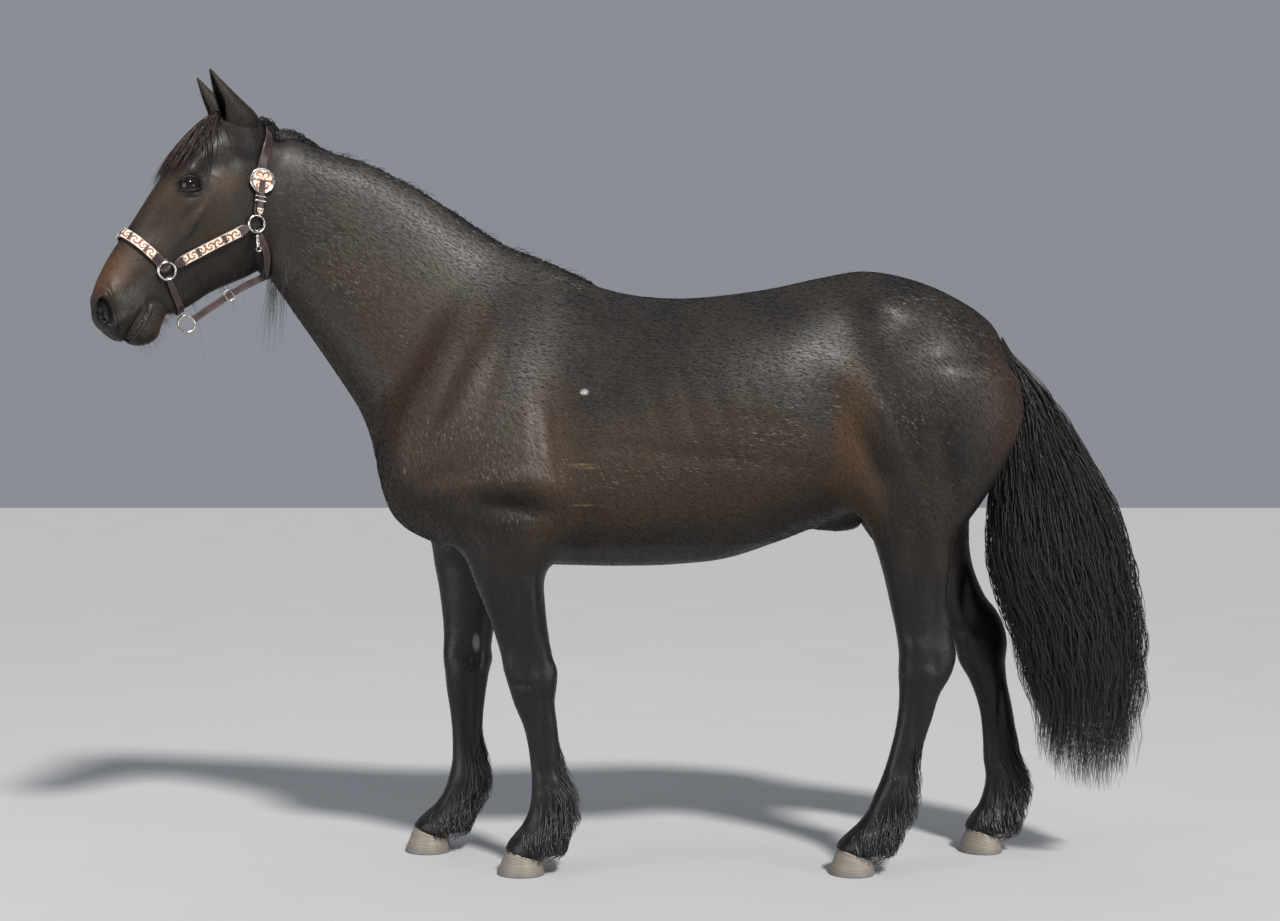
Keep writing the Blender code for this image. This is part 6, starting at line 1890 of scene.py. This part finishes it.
crown = courses["halter_crown"]
for word, side in SIDES.items():
    spot = on_hide(head_place(CONCHO[0], CONCHO[1], side * CONCHO[2]))[0]
    nearest = int(np.argmin(np.linalg.norm(crown.line - spot, axis=1)))
    out, across = crown.normal[nearest], crown.across[nearest]
    centre, ahead = crown.line[nearest] + out * 0.004, np.cross(out, across)
    bm = bmesh.new()
    face = [(0.0005, 0.0045), (0.012, 0.0043), (0.022, 0.0036), (0.0285, 0.0026), (0.0295, 0.0005)]
    turned(bm, centre, out, face)
    flat = np.array([vert.co[:] for vert in bm.verts]) - centre
    turn = np.arctan2(flat @ ahead, flat @ across) * 2 * SCROLL_PITCH / np.pi
    local = np.column_stack([turn, np.linalg.norm(flat, axis=1) / 0.0145 - 1, np.full(len(flat), 0.5)])
    nodes = ["halter_concho"] if side > 0 else []
    halter_piece(f"concho_face_{word}", bm, tooled, *nodes, spots=local)
    bm = bmesh.new()
    rim = [(0.0285, 0.0), (CONCHO_RADIUS, 0.0004), (0.0334, 0.002)]
    rim += [(0.032, 0.0038), (0.0298, 0.0042), (0.0285, 0.003)]
    turned(bm, centre, out, rim, 64)
    for angle in turns(44):
        bead(bm, centre + (across * math.cos(angle) + ahead * math.sin(angle)) * 0.0312 + out * 0.004, 0.0013)
    halter_piece(f"concho_rim_{word}", bm, silver)

    share = crown.along[nearest] / crown.along[-1]
    span = (0.012, share + 0.004) if share < 0.5 else (share - 0.004, 0.988)
    tongue = crown.part(*span)
    ends = (0.014, 0.0) if share < 0.5 else (0.0, 0.014)
    strap(f"crown_tongue_{word}", tongue, 0.016, 0.0028, leather, rise=0.0072, pointed=ends)
    bm = bmesh.new()
    for at, wide in ((0.42, 0.0056), (0.56, 0.003)):
        i = int((at if share < 0.5 else 1 - at) * (len(tongue.line) - 1))
        ahead = np.cross(tongue.normal[i], tongue.across[i]) * wide
        keeper(bm, tongue, i, ahead, (0.0155, 0.0062), 0.0055, 0.4, [(-0.5, 0.9), (-0.42, 1.0)])
    halter_piece(f"crown_keeper_{word}", bm, silver)
    tip = tongue.part(0.0, 0.22) if share < 0.5 else tongue.part(0.78, 1.0)
    strap(f"crown_tip_{word}", tip, 0.0155, 0.0018, tooled, rise=0.0098, pointed=ends)

# The snap that hangs from the left throat ring, and the jaw strap's buckle
throat = rings_at["throat", 1]
snap_top = throat - np.array((0.0, 0.0, RING_RADIUS)) + HEAD[2] * 0.003
down = np.array((0.1, 0.0, -1.0)) / math.hypot(0.1, 1.0)
bm = bmesh.new()
torus(bm, snap_top - down * 0.001, HEAD[0], 0.0062, 0.002)
turned(bm, snap_top, down, [
    (0.003, 0.006), (0.0052, 0.008), (0.0055, 0.012), (0.0038, 0.014), (0.0046, 0.018), (0.0058, 0.026),
    (0.0055, 0.032), (0.003, 0.036),
], 24)
torus(bm, snap_top + down * 0.042, HEAD[2], 0.0062, 0.0019)
halter_piece("throat_snap", bm, silver)
buckle_at = course.part(0.44, 0.56)
bm = bmesh.new()
middle = len(buckle_at.line) // 2
place, across, out = buckle_at.line[middle], buckle_at.across[middle], buckle_at.normal[middle]
ahead = np.cross(out, across)
wire = turns(10)
rings = []
for side, lean in zip(*rounded(turns(48), 0.5)):
    at = place + across * side * 0.0135 + ahead * lean * 0.01 + out * 0.0045
    outward = unit(across * side + ahead * lean)
    rings.append(at + np.outer(np.cos(wire), outward) * 0.0016 + np.outer(np.sin(wire), out) * 0.0016)
add_wire(bm, rings)
halter_piece("jaw_buckle", bm, silver)

# ---------- studio
# A plain pale floor, a soft key lamp, one lamp overhead and one at each side, and the camera.
bm = bmesh.new()
bmesh.ops.create_grid(bm, x_segments=1, y_segments=1, size=40.0)
floor = new_object("floor", mesh_from(bm, "floor"))
floor_paint = Paint("floor_paint", roughness=0.85)
floor_paint.feed("Base Color", floor_paint.mix((0.36, 0.37, 0.38), (0.39, 0.4, 0.41), floor_paint.noise(1.5)))
floor.data.materials.append(floor_paint.material)

world = bpy.data.worlds.new("studio")
world.use_nodes = True
world.node_tree.nodes["Background"].inputs["Color"].default_value = (0.86, 0.9, 1.0, 1.0)
world.node_tree.nodes["Background"].inputs["Strength"].default_value = 0.3
bpy.context.scene.world = world

# Lamps: name, kind, place, what it looks at, size, strength, colour
LAMPS = [
    ("key", "SUN", (2.4, -5.2, 6.6), (0.0, 0.0, 1.1), math.radians(7), 5.0, (1.0, 0.96, 0.9)),
    ("soft_top", "AREA", (-0.5, 0.5, 6.0), (0.0, 0.0, 1.2), 6.0, 50, (0.92, 0.95, 1.0)),
    ("side_front", "AREA", (-4.2, -3.4, 1.6), (-0.3, 0.0, 0.8), 3.0, 110, (0.95, 0.97, 1.0)),
    ("side_back", "AREA", (4.4, -3.0, 1.6), (0.4, 0.0, 0.8), 2.5, 75, (0.98, 0.98, 1.0)),
]
for name, kind, place, target, size, strength, colour in LAMPS:
    lamp = bpy.data.lights.new(name, kind)
    if kind == "SUN":
        lamp.angle = size
    else:
        lamp.size = size
    lamp.energy = strength
    lamp.color = colour
    holder = bpy.data.objects.new(name, lamp)
    holder.location = place
    holder.rotation_euler = (Vector(target) - Vector(place)).to_track_quat("-Z", "Y").to_euler()
    bpy.context.scene.collection.objects.link(holder)

CAMERA_PLACE = (-0.149, -4.85, 1.0)  # in the stations' frame, level, and square to the horse
camera_data = bpy.data.cameras.new("camera")
camera_data.lens = 52.26
camera_data.sensor_width = 36.0
camera_data.shift_y = 0.0035
camera = bpy.data.objects.new("camera", camera_data)
camera.location = at_home(CAMERA_PLACE)
camera.rotation_euler = (math.pi / 2, 0.0, 0.0)
bpy.context.scene.collection.objects.link(camera)
bpy.context.scene.camera = camera
bpy.context.scene.view_settings.view_transform = "Standard"
